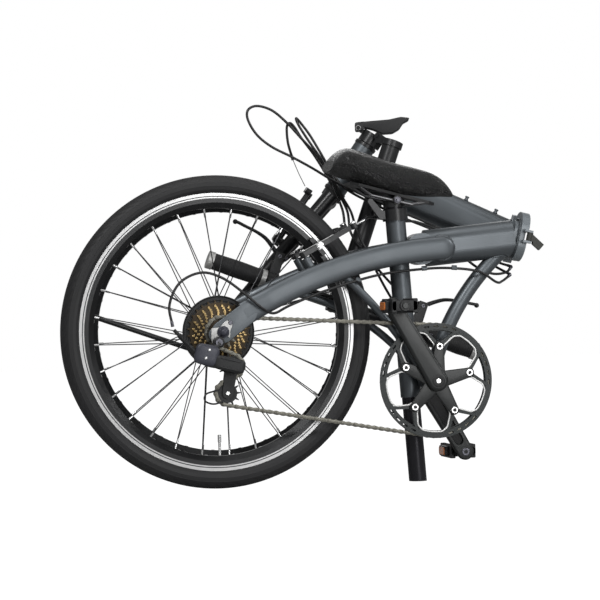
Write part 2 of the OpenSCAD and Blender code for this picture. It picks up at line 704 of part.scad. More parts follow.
hanger_at = [-10, 275];
module derailleur_hanger() {
    from = -rear_gap / 2 - dropout_t - 3.1;
    color(steel) set_down() difference() {
        union() {
            plate(from, from + 3) flat_link([0, hub.z], hanger_at, 15, 11);
            plate(from, from + 3) flat_link([4, hub.z + 5], [15, 311], 12, 9);
        }
        translate(hub) across(rear_axle_d / 2 + fit, -beyond, 0);
        translate([hanger_at.x, 0, hanger_at.y]) across(5.1, -beyond, 0);
    }
}
module derailleur_body() {
    out = -rear_gap / 2 - dropout_t - 3.3;
    swing = 14;
    color(black) set_down() {
        translate([hanger_at.x, 0, hanger_at.y]) {
            across(5, out - 1, out + 3.2);
            across(10.5, out - 11.5, out);
        }
        plate(out - 12, out - 4) flat_link(hanger_at, [-34, 254], 11, 13);
        translate([-34, -90, 253]) rotate([0, swing, 0]) cube([42, 12, 36], center = true);
        translate([8, -89, 234]) rotate([0, swing, 0]) cube([56, 20, 26], center = true);
        rod([-93, -86, 300], [-48, -86, 252], 4.5);
        translate([guide_at.x, 0, guide_at.y]) {
            across(9, -90, cog_y - 7.3);
            across(3, cog_y - 8, cog_y + 6);
        }
    }
}
module derailleur_cage() {
    color(black) set_down() {
        for (y = [cog_y - 6, cog_y + 4.5]) plate(y, y + 1.5) difference() {
            flat_link(guide_at, tension_at, 12, 10);
            translate(guide_at) circle(r = 3 + fit);
        }
        translate([tension_at.x, 0, tension_at.y]) across(3, cog_y - 6, cog_y + 6);
    }
}
module pulley(at, i) {
    difference() {
        plate(cog_y - 1, cog_y + 1) translate(at)
            toothed(pulley_teeth, pulley_r - 3.9, pulley_r + 2.6, roller_angle(i));
        translate([at.x, 0, at.y]) across(3 + fit, cog_y - 5, cog_y + 5);
    }
    translate([at.x, 0, at.y]) ring(7, 3 + fit, cog_y - 4.2, cog_y + 4.2);
}
module guide_pulley() { color(black) set_down() pulley(guide_at, 2); }
module tension_pulley() { color(black) set_down() pulley(tension_at, 3); }

// Seat

post_top = 533;
post_wall = 2.5;
module seat_post() {
    color(black) set_down() difference() {
        rod(seat_axis(-20), seat_axis(post_top), post_r);
        translate([foot_x - 60, -60, -60]) cube([120, 120, 60]);
        rod(seat_axis(6), seat_axis(post_top + 27), post_r - post_wall);
    }
}
clamp_z = [495, 517];
ear_at = [317, 0, 506];
module seat_clamp() {
    slot_w = 3;
    color(black) set_down() difference() {
        union() {
            rod(seat_axis(clamp_z[0]), seat_axis(clamp_z[1]), seat_tube_d / 2 + 5);
            translate([ear_at.x - 6, -11, ear_at.z - 8]) cube([22, 22, 16]);
        }
        rod(seat_axis(480), seat_axis(seat_tube_z[1]), seat_tube_d / 2 + touch);
        rod(seat_axis(500), seat_axis(540), post_r + 0.3);
        translate([300, -slot_w / 2, 490]) cube([36, slot_w, 40]);
        translate(ear_at) across(3 + fit, -20, 20);
    }
}
module seat_lever() {
    color(black) set_down() translate(ear_at) {
        across(3, -16, 14);
        across(6, 11.3, 16);
        plate(-20, -11.3) flat_link([0, 0], [-20, 26], 7, 5);
    }
}
rail_y = 22;
module saddle_frame() { translate(saddle_at) rotate([0, saddle_tilt, 0]) children(); }
rail_z = -56;
module saddle_clamp() {
    top = seat_axis(post_top + 0.2);
    color(black) set_down() difference() {
        union() {
            translate(top) rotate([90, saddle_tilt, 0]) cylinder(r = 8, h = 58, center = true);
            rod(seat_axis(post_top - 12), seat_axis(post_top + 1), post_r + 4);
        }
        rod(seat_axis(post_top - 33), seat_axis(post_top), post_r + fit);
        saddle_frame() for (s = [-1, 1])
            rod([-60, s * rail_y, rail_z], [70, s * rail_y, rail_z], rail_r + fit);
    }
}
rail_r = 3.5;
base_z = [-46.5, -41.3];
module saddle_rails() {
    bend = rail_r - 0.1;
    color(steel) set_down() difference() {
        saddle_frame() for (s = [-1, 1]) {
            rod([-38, s * rail_y, rail_z], [47, s * rail_y, rail_z], rail_r);
            rod([-35, s * rail_y, rail_z], [-78, s * 34, -38], bend);
            rod([44, s * rail_y, rail_z], [94, s * 9, -38], bend);
        }
        saddle_frame() translate([-150, -100, base_z[0] - touch]) cube([300, 200, 60]);
    }
}
// Half width, top and bottom of the saddle along its length, 0 at the back and 1 at the nose
function saddle_half_w(t) = saddle_w / 2 * (0.26 + 0.74 * pow(cos(min(t, 1) * 90), 2) * (1 - 0.25 * t))
    * pow(sin(180 * min(0.5, 0.14 + t * 1.9)), 0.55)
    * sqrt(max(0, 1 - pow(max(0, t - 0.82) / 0.185, 2)));
function saddle_top(t) = 22 - 10 * t - 30 * pow(max(0, t - 0.72) / 0.28, 2.4)
    - 34 * pow(max(0, 0.12 - t) / 0.12, 2);
function saddle_low(t) = -31 - 10 * sin(180 * min(1, t * 1.1)) + 8 * pow(max(0, t - 0.7) / 0.3, 2);
saddle_stations = 16;
saddle_ring = 24;
function saddle_point(t, k) = let (a = 360 * k / saddle_ring, c = cos(a), s = sin(a),
        w = saddle_half_w(t), hi = saddle_top(t), lo = saddle_low(t),
        mid = lo + (hi - lo) * 0.42, draw = s < 0 ? 1 - 0.22 * s * s : 1)
    [-saddle_half + saddle_len * t, w * draw * sign(c) * pow(abs(c), 0.75),
     s > 0 ? mid + (hi - mid) * pow(s, 0.7) : mid + (mid - lo) * s];
module saddle_cushion() {
    ts = [for (i = [0 : saddle_stations]) 0.004 + 0.99 * (1 - cos(180 * i / saddle_stations)) / 2];
    n = saddle_ring;
    pts = [for (t = ts) for (k = [0 : n - 1]) saddle_point(t, k)];
    sides = [for (i = [0 : saddle_stations - 1]) for (k = [0 : n - 1])
        let (a = i * n + k, b = i * n + (k + 1) % n) each [[a, a + n, b], [b, a + n, b + n]]];
    last = saddle_stations * n;
    ends = [for (k = [1 : n - 2]) each [[0, k, k + 1], [last, last + k + 1, last + k]]];
    color("#161718") set_down() saddle_frame() polyhedron(pts, concat(sides, ends));
}
module saddle_base() {
    half = [[-80, 28], [-66, 42], [-30, 33], [20, 20], [80, 14], [92, 5]];
    mirrored = [for (k = [len(half) - 1 : -1 : 0]) [half[k].x, -half[k].y]];
    color("#101112") set_down() saddle_frame() translate([0, 0, base_z[0]])
        linear_extrude(base_z[1] - base_z[0]) polygon(concat(half, mirrored));
}

// Brakes, kickstand

pad_drop = 13;
pad_size = [8, 12, 40];
pad_mid = 4;
arm_reach = 118;
// Where a pad sits along its arm and how far it turns to lie on the rim, with the hub seen from the pivot
function pad_place(along, over) = let (r = rim_r - pad_drop, z = pad_mid - over, x = sqrt(r * r - z * z))
    [along + x, atan2(z, x)];
module brake_arm(place) {
    difference() {
        union() {
            cylinder(r = 8, h = 11);
            translate([0, -6, 1]) linear_extrude(9)
                polygon([[0, -2], [0, 14], [55, 12], [arm_reach - 5, 4], [arm_reach - 5, -6], [55, -2]]);
            translate([arm_reach - 8, -1, 0]) cylinder(r = 6, h = 11);
            translate([place[0], 4, 5.5]) rotate([90, 0, 0]) cylinder(r = 4, h = 22);
            translate([place[0], -23, pad_mid]) rotate([0, -place[1], 0]) cube(pad_size, center = true);
        }
        translate([0, 0, -1]) cylinder(r = 4 + fit, h = 14);
    }
}
module rear_brake(side) {
    at = [brake_at.x, side * brake_at.y, brake_at.z];
    away = hub - brake_at;
    place = pad_place(away.x * cos(brake_tilt) + away.z * sin(brake_tilt), [away.x, 0, away.z] * brake_up);
    translate(at) rotate([0, -brake_tilt, 0]) mirror([0, side > 0 ? 0 : 1, 0]) brake_arm(place);
}
module rear_brake_right() { color(black) set_down() rear_brake(-1); }
module rear_brake_left() { color(black) set_down() rear_brake(1); }
stud_rise = 212;
front_stud = [34, 44, stud_rise - fork_len];
module front_brake(side) {
    place = pad_place(-stud_rise, fork_rake - front_stud.x);
    translate([front_stud.x, side * front_stud.y, front_stud.z]) rotate([0, 90, 0]) rotate([0, 0, 180])
        mirror([0, side > 0 ? 1 : 0, 0]) brake_arm(place);
}
module front_brake_right() { color(black) set_down() steering() front_brake(-1); }
module front_brake_left() { color(black) set_down() steering() front_brake(1); }

stand_reach = [-226, 0, 82];
module kickstand() {
    color(black) set_down() translate(stand_at) {
        difference() {
            union() {
                across(9, rear_gap / 2 + dropout_t + 0.3 - stand_at.y, 8);
                rod([0, 0, 0], stand_reach, 5);
            }
            across(stand_pin_r + fit, -40, 40);
        }
    }
}

// Front half

head_from = 8;
module front_frame() {
    head_mid = crown_at + [-sin(steer_lean), 0, cos(steer_lean)] * (head_from + head_len / 2);
    tube_from = [plate_t + 0.5, 0, 0];
    run = head_mid - tube_from;
    color(dark_grey) set_down() front() difference() {
        union() {
            difference() {
                translate(tube_from) rotate([0, 90 - atan2(run.z, run.x), 0]) hull() {
                    translate([0, 0, -10]) linear_extrude(1) slot_shape(tube_h, tube_w, $fn = 32);
                    translate([0, 0, norm(run) - 1]) linear_extrude(1)
                        slot_shape(tube_h, front_tube_w, $fn = 32);
                }
                translate([-40 + plate_t + 0.4, -80, -80]) cube([40, 160, 160]);
            }
            translate(crown_at) rotate([0, -steer_lean, 0]) translate([0, 0, head_from])
                cylinder(d = head_d, h = head_len);
        }
        translate(crown_at) rotate([0, -steer_lean, 0]) {
            translate([0, 0, -50]) cylinder(d = steerer_d + 4, h = 300);
            translate([0, 0, -60]) cylinder(r = 60, h = 60 + head_from);
            translate([0, 0, head_from + head_len]) cylinder(r = 60, h = 60);
        }
    }
}
module headset() {
    low = head_from - 6.3;
    high = head_from + head_len + 0.3;
    color(black) set_down() steering() for (z = [low, high]) difference() {
        translate([0, 0, z]) cylinder(d = head_d + 3, h = 6);
        translate([0, 0, z - 1]) cylinder(d = steerer_d + 2 * fit, h = 8);
    }
}
module fork() {
    inner = front_gap / 2;
    crown_half = 42;
    foot_half = 56;
    color(black) set_down() steering() difference() {
        union() {
            translate([0, 0, -6]) cylinder(d = steerer_d, h = 6 + pin_height - 0.5);
            translate([0, 0, -16]) rotate([90, 0, 0]) cylinder(r = 16, h = 88, center = true);
            cylinder(r = 20, h = 1.4);
            translate([0, 0, -12]) cylinder(r = 20, h = 12.2);
            for (s = [-1, 1]) {
                rod([0, s * crown_half, -8], [fork_rake, s * foot_half, -fork_len + 16], 15, 9);
                translate([fork_rake, 0, -fork_len])
                    plate(s > 0 ? inner : -inner - 6, s > 0 ? inner + 6 : -inner)
                    flat_link([0, 0], [-2, 22], 13, 10);
                stud = [10, s * front_stud.y, front_stud.z];
                rod(stud, stud + [front_stud.x - 11, 0, 0], 7);
                rod(stud, stud + [front_stud.x + 3, 0, 0], 4);
            }
        }
        translate([fork_rake, 0, -fork_len]) across(front_axle_d / 2 + fit, -beyond, beyond);
    }
}
module post_base() {
    from = head_from + head_len + 8;
    top = pin_height - 0.4;
    color(black) set_down() steering() difference() {
        union() {
            difference() {
                union() {
                    translate([0, 0, from]) cylinder(r = 20, h = top - from);
                    translate([0, 0, from]) linear_extrude(top - from) rotate(pin_turn + 90)
                        translate([0, -8]) square([pin_side, 16]);
                }
                translate(pin_at) along_pin() for (s = [-1, 1])
                    translate([0, 0, s * 14.5]) cylinder(r = 7.5, h = 12.6, center = true);
            }
            translate(pin_at) along_pin() {
                cylinder(r = 7, h = 16, center = true);
                cylinder(r = 4, h = 40, center = true);
            }
            translate(latch_at) rotate([90, 0, 0]) cylinder(r = 4, h = 28, center = true);
            translate([14, -6, latch_at.z - 4]) cube([latch_at.x - 14, 12, 8]);
        }
        translate([0, 0, from - 1]) cylinder(d = steerer_d + 2 * fit, h = 100);
    }
}
latch_at = [31, 0, 132];
latch_lean = 52;
latch_w = 24;
// Side view of the lever, from its lugs to the hooked end
latch_edge = [
    [0, 9], [11, 9], [12, 30], [12.5, 62], [16, 84], [13, 101], [8, 99], [3, 88], [-8, 80], [-15, 66],
    [-15, 46], [-6, 30], [-2, 18]
];
module post_latch() {
    lug_w = 5;
    color(black) set_down() steering() translate(latch_at) rotate([0, -latch_lean, 0]) difference() {
        union() {
            for (s = [-1, 1])
                translate([-6, s * (latch_w - lug_w) / 2 - lug_w / 2, -6]) cube([17, lug_w, 15.2]);
            rotate([90, 0, 0]) linear_extrude(latch_w, center = true) polygon(latch_edge);
        }
        rotate([90, 0, 0]) cylinder(r = 4 + fit, h = 40, center = true);
    }
}
module handlepost() {
    color(black) set_down() post_frame() difference() {
        union() {
            translate([0, 0, pin_height + 0.4]) cylinder(r = 21, h = 12);
            translate([0, 0, pin_height + 4]) cylinder(d = bar_post_d, h = bar_post_len - 19);
            translate(pin_at) along_pin() for (s = [-1, 1])
                translate([0, 0, s * 13.5]) cylinder(r = 7, h = 10, center = true);
            translate([0, 0, pin_height + 0.4]) linear_extrude(12) rotate(pin_turn + 90) for (s = [-1, 1])
                translate([0, s * 13.5 - 5]) square([pin_side, 10]);
            translate([0, 0, bar_height]) rotate([90, 0, 0])
                cylinder(r = bar_d / 2 + 6, h = 46, center = true);
        }
        translate([0, 0, pin_height + 16]) cylinder(d = bar_post_d - 5, h = bar_post_len - 60);
        translate([0, 0, bar_height]) rotate([90, 0, 0])
            cylinder(r = bar_d / 2 + fit, h = 80, center = true);
        translate(pin_at) along_pin() {
            cylinder(r = 4 + fit, h = 60, center = true);
            cylinder(r = 7.4, h = 16.6, center = true);
        }
    }
}
module handlebar() {
    color(black) set_down() bar_frame() difference() {
        across(bar_d / 2, -bar_len / 2, bar_len / 2);
        across(bar_d / 2 - 2.4, -bar_len / 2 - 1, bar_len / 2 + 1);
    }
}
left_grip = 116;
shifter_len = 44;
mount_w = 20;
bar_gap = 2;
right_grip = left_grip - shifter_len - bar_gap;
module grip(length) {
    r = grip_d / 2;
    ring(r, bar_d / 2 + fit, 0, length);
    ring(r + 1, bar_d / 2 + fit, 0, 10);
    ring(r + 1, bar_d / 2 + fit, length - 10, length);
    across(bar_d / 2 - 3, length - 6, length + 2);
    across(r, length + 0.1, length + 3);
}
module grips() {
    color(black) set_down() bar_frame() {
        translate([0, bar_len / 2 - left_grip, 0]) grip(left_grip);
        mirror([0, 1, 0]) translate([0, bar_len / 2 - right_grip, 0]) grip(right_grip);
    }
}
lever_at = bar_len / 2 - left_grip - bar_gap - mount_w / 2;
lever_drop = 50;
lever_pin_d = 6;
module lever_mounts() {
    shifter_from = lever_at + mount_w / 2 + bar_gap;
    color(black) set_down() bar_frame() {
        for (s = [-1, 1]) difference() {
            union() {
                ring(bar_d / 2 + 5, bar_d / 2 + fit, s * lever_at - mount_w / 2, s * lever_at + mount_w / 2);
                translate([-8, s * lever_at - 9, -lever_drop - 8]) cube([16, 18, lever_drop - bar_d / 2 + 6]);
            }
            across(bar_d / 2 + fit, s * lever_at - 30, s * lever_at + 30);
            translate([-6, s * lever_at - 20, -lever_drop - 12]) cube([12, 40, 22]);
        }
        for (s = [-1, 1]) translate([0, s * lever_at, -lever_drop]) rotate([0, 90, 0])
            cylinder(d = lever_pin_d, h = 16, center = true);
        mirror([0, 1, 0]) ring(21, bar_d / 2 + fit, shifter_from, shifter_from + shifter_len);
    }
}
module lever(side) {
    t = 11;
    knee = [side * (lever_at + 34), -lever_drop - 26];
    difference() {
        rotate([90, 0, 90]) translate([0, 0, -t / 2]) {
            linear_extrude(t) flat_link([side * lever_at, -lever_drop], knee, 8, 5);
            linear_extrude(t) flat_link(knee, [side * (lever_at + 104), -lever_drop - 36], 4.8, 4);
        }
        translate([-30, side * lever_at, -lever_drop]) rotate([0, 90, 0])
            cylinder(d = lever_pin_d + 2 * fit, h = 60);
    }
}
module brake_lever_left() { color(black) set_down() bar_frame() lever(1); }
module brake_lever_right() { color(black) set_down() bar_frame() lever(-1); }

// Cables

module rear_brake_cable() { color(black) set_down() cable(brake_route, cable_d); }
module shift_cable() { color(black) set_down() cable(shift_route, cable_d); }
module bar_cables() {
    color(black) set_down() {
        cable(front_brake_route, cable_d);
        cable(rear_brake_route, cable_d);
        cable(shifter_route, cable_d);
    }
}

rear_frame();
down_strut();
stay_right();
stay_left();
lower_struts();
hinge_plate_rear();
derailleur_hanger();
rear_axle();
seat_clamp();
bracket_cups();
rear_brake_cable();
shift_cable();
chain();
derailleur_body();
seat_post();
saddle_clamp();
saddle_rails();
saddle_base();
saddle_cushion();
seat_lever();
rear_tyre();
rear_rim();
rear_spokes();
rear_hub();
rear_valve();
spoke_guard();
cassette();
crank_right();
chainring();
crank_bolts();
crank_left();
pedal_right();
pedal_left();
derailleur_cage();
guide_pulley();
tension_pulley();
kickstand();
rear_brake_right();
rear_brake_left();
front_frame();
hinge_plate_front();
headset();
frame_latch();
fork();
post_base();
front_axle();
front_tyre();
front_rim();
front_spokes();
front_hub();
front_brake_right();
front_brake_left();
handlepost();
handlebar();
grips();
lever_mounts();
brake_lever_left();
brake_lever_right();
post_latch();
bar_cables();
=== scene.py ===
"""Dresses the folded bicycle: finishes for its solids, and the soft, fine and small pieces on them."""

import math

import bmesh
import bpy
import numpy as np
from mathutils import Matrix, Vector


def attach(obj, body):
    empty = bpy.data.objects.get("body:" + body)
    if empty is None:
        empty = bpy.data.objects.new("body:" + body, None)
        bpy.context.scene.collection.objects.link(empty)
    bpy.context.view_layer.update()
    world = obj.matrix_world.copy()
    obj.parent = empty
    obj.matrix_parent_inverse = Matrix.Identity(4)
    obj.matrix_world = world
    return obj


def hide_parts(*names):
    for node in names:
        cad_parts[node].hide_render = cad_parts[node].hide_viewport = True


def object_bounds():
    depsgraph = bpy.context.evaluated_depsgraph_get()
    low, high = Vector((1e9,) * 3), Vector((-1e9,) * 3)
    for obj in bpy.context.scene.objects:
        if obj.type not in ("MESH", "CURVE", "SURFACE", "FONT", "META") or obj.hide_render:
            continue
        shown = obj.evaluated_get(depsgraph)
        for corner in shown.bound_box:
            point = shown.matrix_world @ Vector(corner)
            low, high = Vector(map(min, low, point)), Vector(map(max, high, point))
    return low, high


bl_info = {
    "name": "Folded bicycle",
    "version": (1, 0, 0),
    "blender": (4, 5, 0),
    "location": "View3D > Sidebar > Bicycle",
    "description": "Builds the looks of a folded bicycle round its solids",
    "category": "Object",
}

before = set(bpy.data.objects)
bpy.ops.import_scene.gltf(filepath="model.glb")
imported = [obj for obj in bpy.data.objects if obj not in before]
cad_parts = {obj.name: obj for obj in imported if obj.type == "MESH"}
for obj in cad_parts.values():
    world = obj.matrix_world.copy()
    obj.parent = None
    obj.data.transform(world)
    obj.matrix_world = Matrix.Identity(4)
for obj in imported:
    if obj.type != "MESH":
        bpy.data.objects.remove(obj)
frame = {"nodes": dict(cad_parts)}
SOLID_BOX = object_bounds()

MM = 0.001

# Frames of reference, in millimetres, as the solids have them


def move(x, y, z):
    """A shift."""
    return Matrix.Translation((x, y, z))


def turn(degrees, axis):
    """A turn about one of the axes."""
    return Matrix.Rotation(math.radians(degrees), 4, axis)


WHEEL_R = 293.5
TYRE_R = 20.0
RIM_R = 260.0
TUBE_H = 70.0
TUBE_W = 50.0
PLATE_T = 16.0
STRUT_R = 14.0
TYRE_WALL = 4.0
RIM_WALL = 28.2
SPOKES = 28
CHAIN_PITCH = 12.7


def pitch_radius(teeth):
    """The radius on which a wheel of that many teeth carries the chain's pins."""
    return teeth * CHAIN_PITCH / (2 * math.pi)


def polar(radius, degrees):
    """The point that far out at that angle: r cos a, r sin a."""
    return (radius * math.cos(math.radians(degrees)), radius * math.sin(math.radians(degrees)))


RING_R = pitch_radius(52)
BOLT_R = 65.0
CRANK_TURN = 120.0
CRANK_LEN = 165.0
SPIDER = [CRANK_TURN + 36 + 72 * k for k in range(5)]
BAR_HALF = 276.0
LEVER_AT = 148.0
LEVER_DROP = -50.0
HINGE_X, HINGE_Y, HINGE_Z = 600.0, 42.0, 458.0
HINGE_LEAN = 13.4
FRAME_FOLD = 168.5
HEAD_LEAN = 22.3
POST_FOLD = 165.4
PIN = Vector((*polar(27, 139.6), 139.0))
PIN_RISE = math.radians(3.8)
PIN_DIR = Vector((*polar(-math.cos(PIN_RISE), 49.6), math.sin(PIN_RISE)))
SEAT_X = 380.0
SET_DOWN = move(-SEAT_X, 0, 0)
HUB = SET_DOWN @ move(0, 0, WHEEL_R)
AT_HINGE = SET_DOWN @ move(HINGE_X, HINGE_Y, HINGE_Z) @ turn(HINGE_LEAN, "Y")
FRONT = AT_HINGE @ turn(FRAME_FOLD, "Z") @ move(0, -HINGE_Y, 0)
STEERING = FRONT @ move(366.5, 0, 17.25) @ turn(-HEAD_LEAN, "Y")
FRONT_HUB = STEERING @ move(38, 0, -350)
WHEELS = (("rear", HUB), ("front", FRONT_HUB))
POST = STEERING @ Matrix.Translation(PIN) @ turn(POST_FOLD, PIN_DIR) @ Matrix.Translation(-PIN)
BAR = POST @ move(0, -7, 475)
BRACKET_X, BRACKET_Z = 407.5, 191.0
BRACKET = SET_DOWN @ move(BRACKET_X, 0, BRACKET_Z)
SADDLE = SET_DOWN @ move(345, 0, 590) @ turn(13.8, "Y")
ACROSS = np.array([0.0, 1.0, 0.0])
MAIN_REF = np.array([435.0, 0.0, 444.0])
MAIN_TILT = math.radians(5.2)
MAIN_DIR = np.array([math.cos(MAIN_TILT), 0, math.sin(MAIN_TILT)])
MAIN_UP = np.array([-math.sin(MAIN_TILT), 0, math.cos(MAIN_TILT)])


def in_metres(points, matrix):
    """Points in millimetres of a local frame, as metres of the part's frame."""
    m = np.array(matrix)
    return (np.asarray(points, float) @ m[:3, :3].T + m[:3, 3]) * MM


# Surfaces: each is a grid of points, closed or open along either of its two parameters


def round_angles(count):
    """Angles once round, evenly apart."""
    return np.linspace(0, 2 * math.pi, count, endpoint=False)


def hump(v, at, wide):
    """A bell-shaped rise: exp(-((v - at) / wide)^2)."""
    return np.exp(-(((v - at) / wide) ** 2))


def ramp(v, wide):
    """A rise from 0 at v = 0 to 1 at v = wide, level before and after."""
    return np.clip(v / wide, 0, 1)


def along_y(profile, sides, hexes=()):
    """A profile of (radius, y) pairs turned about Y: x = r cos a, z = r sin a. The rows in hexes follow a
    hexagon of that inner radius."""
    a = round_angles(sides)
    r, y = np.asarray(profile, float).T
    radius = np.repeat(r[:, None], sides, 1)
    sixth = math.pi / 3
    radius[list(hexes)] *= 1 / np.cos((a + sixth / 2) % sixth - sixth / 2)
    return np.stack([radius * np.cos(a), np.repeat(y[:, None], sides, 1), radius * np.sin(a)], -1)


def along_z(profile, sides, hexes=()):
    """The same, turned about Z."""
    return along_y(profile, sides, hexes)[..., [0, 2, 1]]


def socket_head(radius, side, rim, top, hole, inner, floor, sides=36, base=0.0):
    """A bolt head turned about Z: up its side, in over its rim, and down a hexagon socket to the floor."""
    edge = [(0, base), (radius, base), (radius, side), (rim, top), (hole, top), (inner, floor), (0, floor)]
    return along_z(edge, sides, (4, 5))


def unit(v):
    """Each vector over its own length."""
    return v / np.maximum(np.linalg.norm(v, axis=-1, keepdims=True), 1e-12)


def path_axes(path, closed=False):
    """Two axes square to the path at each point. They follow one fixed direction, the one that the path's
    headings turn about."""
    if closed:
        heading = unit(np.roll(path, -1, 0) - np.roll(path, 1, 0))
    else:
        heading = unit(np.gradient(path, axis=0))
    fixed = np.linalg.svd(heading, full_matrices=True)[2][-1]
    u = unit(np.cross(heading, fixed))
    return u, np.cross(heading, u)


def tube(path, radius, sides=10, closed=False, flat=1.0):
    """A round or flattened section carried along a path: p + r (u cos a + flat w sin a)."""
    path = np.asarray(path, float)
    u, w = path_axes(path, closed)
    a = round_angles(sides)
    r = np.broadcast_to(np.asarray(radius, float), len(path))[:, None, None]
    ring = u[:, None] * np.cos(a)[:, None] + flat * w[:, None] * np.sin(a)[:, None]
    return path[:, None] + r * ring


def smooth_path(points, step):
    """A Catmull-Rom curve through the points, sampled about every step millimetres."""
    p = np.asarray(points, float)
    p = np.vstack([2 * p[0] - p[1], p, 2 * p[-1] - p[-2]])
    runs = []
    for k in range(1, len(p) - 2):
        a, b, c, d = p[k - 1 : k + 3]
        n = max(2, int(np.linalg.norm(c - b) / step))
        t = np.arange(n)[:, None] / n
        runs.append(
            0.5 * (2 * b + (c - a) * t + (2 * a - 5 * b + 4 * c - d) * t**2 + (3 * b - a - 3 * c + d) * t**3)
        )
    runs.append(p[-2:-1])
    return np.vstack(runs)


def run_along(path):
    """The distance along a path at each of its points."""
    return np.concatenate([[0], np.cumsum(np.linalg.norm(np.diff(path, axis=0), axis=1))])


def points_at(path, s):
    """Points at the distances s along a path."""
    run = run_along(path)
    return np.stack([np.interp(s, run, path[:, k]) for k in range(3)], -1)


def link_outline(p, q, r1, r2, count=24):
    """Points round two circles and their outer tangents, anticlockwise from the second circle."""
    p, q = np.asarray(p, float), np.asarray(q, float)
    way = math.atan2(*(q - p)[::-1])
    half = math.pi / 2 - math.asin((r1 - r2) / np.linalg.norm(q - p))
    far = way + np.linspace(-half, half, count)
    near = way + np.linspace(half, 2 * math.pi - half, count)
    arcs = [c + r * np.stack([np.cos(a), np.sin(a)], -1) for c, r, a in ((q, r2, far), (p, r1, near))]
    return np.vstack(arcs)


def rounded(points, radius, count=6):
    """A polygon whose corners are curves b + (a - b)(1 - t)^2 + (c - b) t^2, begun radius from each
    corner."""
    b = np.asarray(points, float)
    a = b + radius * unit(np.roll(b, 1, 0) - b)
    c = b + radius * unit(np.roll(b, -1, 0) - b)
    t = np.linspace(0, 1, count)[:, None]
    return np.vstack([m + (k - m) * (1 - t) ** 2 + (n - m) * t**2 for k, m, n in zip(a, b, c)])


def slab(outline, front, back, bevel, loops=4):
    """An outline of (x, z) points pushed from y = front to y = back, with quarter-round edges: each ring is
    moved in along the outline's normals by bevel (1 - sin t) and back by bevel (1 - cos t)."""
    flat = np.asarray(outline, float)
    edge = unit(np.roll(flat, -1, 0) - flat)
    normal = np.stack([edge[:, 1], -edge[:, 0]], -1)
    normal = unit(normal + np.roll(normal, 1, 0))
    area = np.sum(flat[:, 0] * np.roll(flat[:, 1], -1) - flat[:, 1] * np.roll(flat[:, 0], -1))
    t = np.linspace(0, math.pi / 2, loops)
    inset = bevel * (1 - np.sin(t)) * math.copysign(1, area)
    depth = bevel * (1 - np.cos(t))
    rings = flat - inset[:, None, None] * normal
    high = np.concatenate([front + depth, (back - depth)[::-1]])
    rings = np.concatenate([rings, rings[::-1]])
    y = np.repeat(high[:, None], len(flat), 1)
    return np.stack([rings[..., 0], y, rings[..., 1]], -1)


def signed_power(v, power):
    """The size of v to a power, with the sign of v."""
    return np.sign(v) * np.abs(v) ** power


def pillow(wide, deep, high, power):
    """A block with rounded edges: x, y and z are signed powers of cosines, as in a superellipsoid."""
    rows, sides = 25, 56
    v = np.linspace(-math.pi / 2, math.pi / 2, rows)[:, None]
    u = round_angles(sides)[None]
    cv, sv, cu, su = (signed_power(f, 2 / power) for f in (np.cos(v), np.sin(v), np.cos(u), np.sin(u)))
    return np.stack([wide / 2 * cv * cu, deep / 2 * np.repeat(sv, sides, 1), high / 2 * cv * su], -1)


def grid_faces(nu, nv, wrap_u, wrap_v, first):
    """The four corner numbers of every face of an nu by nv grid that starts at point number first."""
    rows, columns = np.arange(nu if wrap_u else nu - 1), np.arange(nv if wrap_v else nv - 1)
    i, j = (index.ravel() for index in np.meshgrid(rows, columns, indexing="ij"))
    k, m = (i + 1) % nu, (j + 1) % nv
    return first + np.stack([i * nv + j, k * nv + j, k * nv + m, i * nv + m], -1)


class Form:
    """Grids that make up one piece, in metres of the part's frame."""

    def __init__(self):
        self.points = []
        self.faces = []
        self.count = 0

    def add(self, grid, matrix, wrap_u=False, wrap_v=True, ends=False):
        """One grid. ends closes its first and last rows, with a fan or, where it says flat, with one face
        each."""
        grid = np.asarray(grid, float)
        nu, nv = grid.shape[:2]
        rows = grid.reshape(-1, 3)
        self.faces += grid_faces(nu, nv, wrap_u, wrap_v, self.count).tolist()
        head = self.count + np.arange(nv)
        tail = head + (nu - 1) * nv
        if ends == "flat":
            self.faces += [head.tolist(), tail.tolist()]
        elif ends:
            rows = np.vstack([rows, grid[0].mean(0), grid[-1].mean(0)])
            near = self.count + nu * nv
            self.faces += np.stack([np.full(nv, near), np.roll(head, -1), head], -1).tolist()
            self.faces += np.stack([np.full(nv, near + 1), tail, np.roll(tail, -1)], -1).tolist()
        self.points.append(in_metres(rows, matrix))
        self.count += len(rows)
        return self

    def plate(self, matrix, outline, front, back, bevel, loops=4):
        """A flat plate with quarter-round edges, cut to an outline in the local X-Z plane."""
        return self.add(slab(outline, front, back, bevel, loops), matrix, ends="flat")

    def rod(self, points, step, radius, sides, matrix=SET_DOWN, flat=1.0):
        """A round or flattened bar along a smooth line through the points."""
        return self.add(tube(smooth_path(points, step), radius, sides, flat=flat), matrix, ends=True)

    def piece(self, name, body, finish, slot, sharp=40.0, replaces=()):
        """The mesh object: doubles merged, normals outwards, sharp edges kept where faces turn by more
        than sharp."""
        mesh = bpy.data.meshes.new(name)
        mesh.from_pydata(np.vstack(self.points).tolist(), [], self.faces)
        work = bmesh.new()
        work.from_mesh(mesh)
        bmesh.ops.remove_doubles(work, verts=work.verts, dist=2e-6)
        bmesh.ops.dissolve_degenerate(work, edges=work.edges, dist=1e-6)
        bmesh.ops.recalc_face_normals(work, faces=work.faces)
        work.to_mesh(mesh)
        work.free()
        mesh.polygons.foreach_set("use_smooth", [True] * len(mesh.polygons))
        mesh.set_sharp_from_angle(angle=math.radians(sharp))
        mesh.materials.append(FINISH[finish])
        made = bpy.data.objects.new(name, mesh)
        bpy.context.scene.collection.objects.link(made)
        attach(made, body)
        if replaces:
            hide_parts(*replaces)
        return made


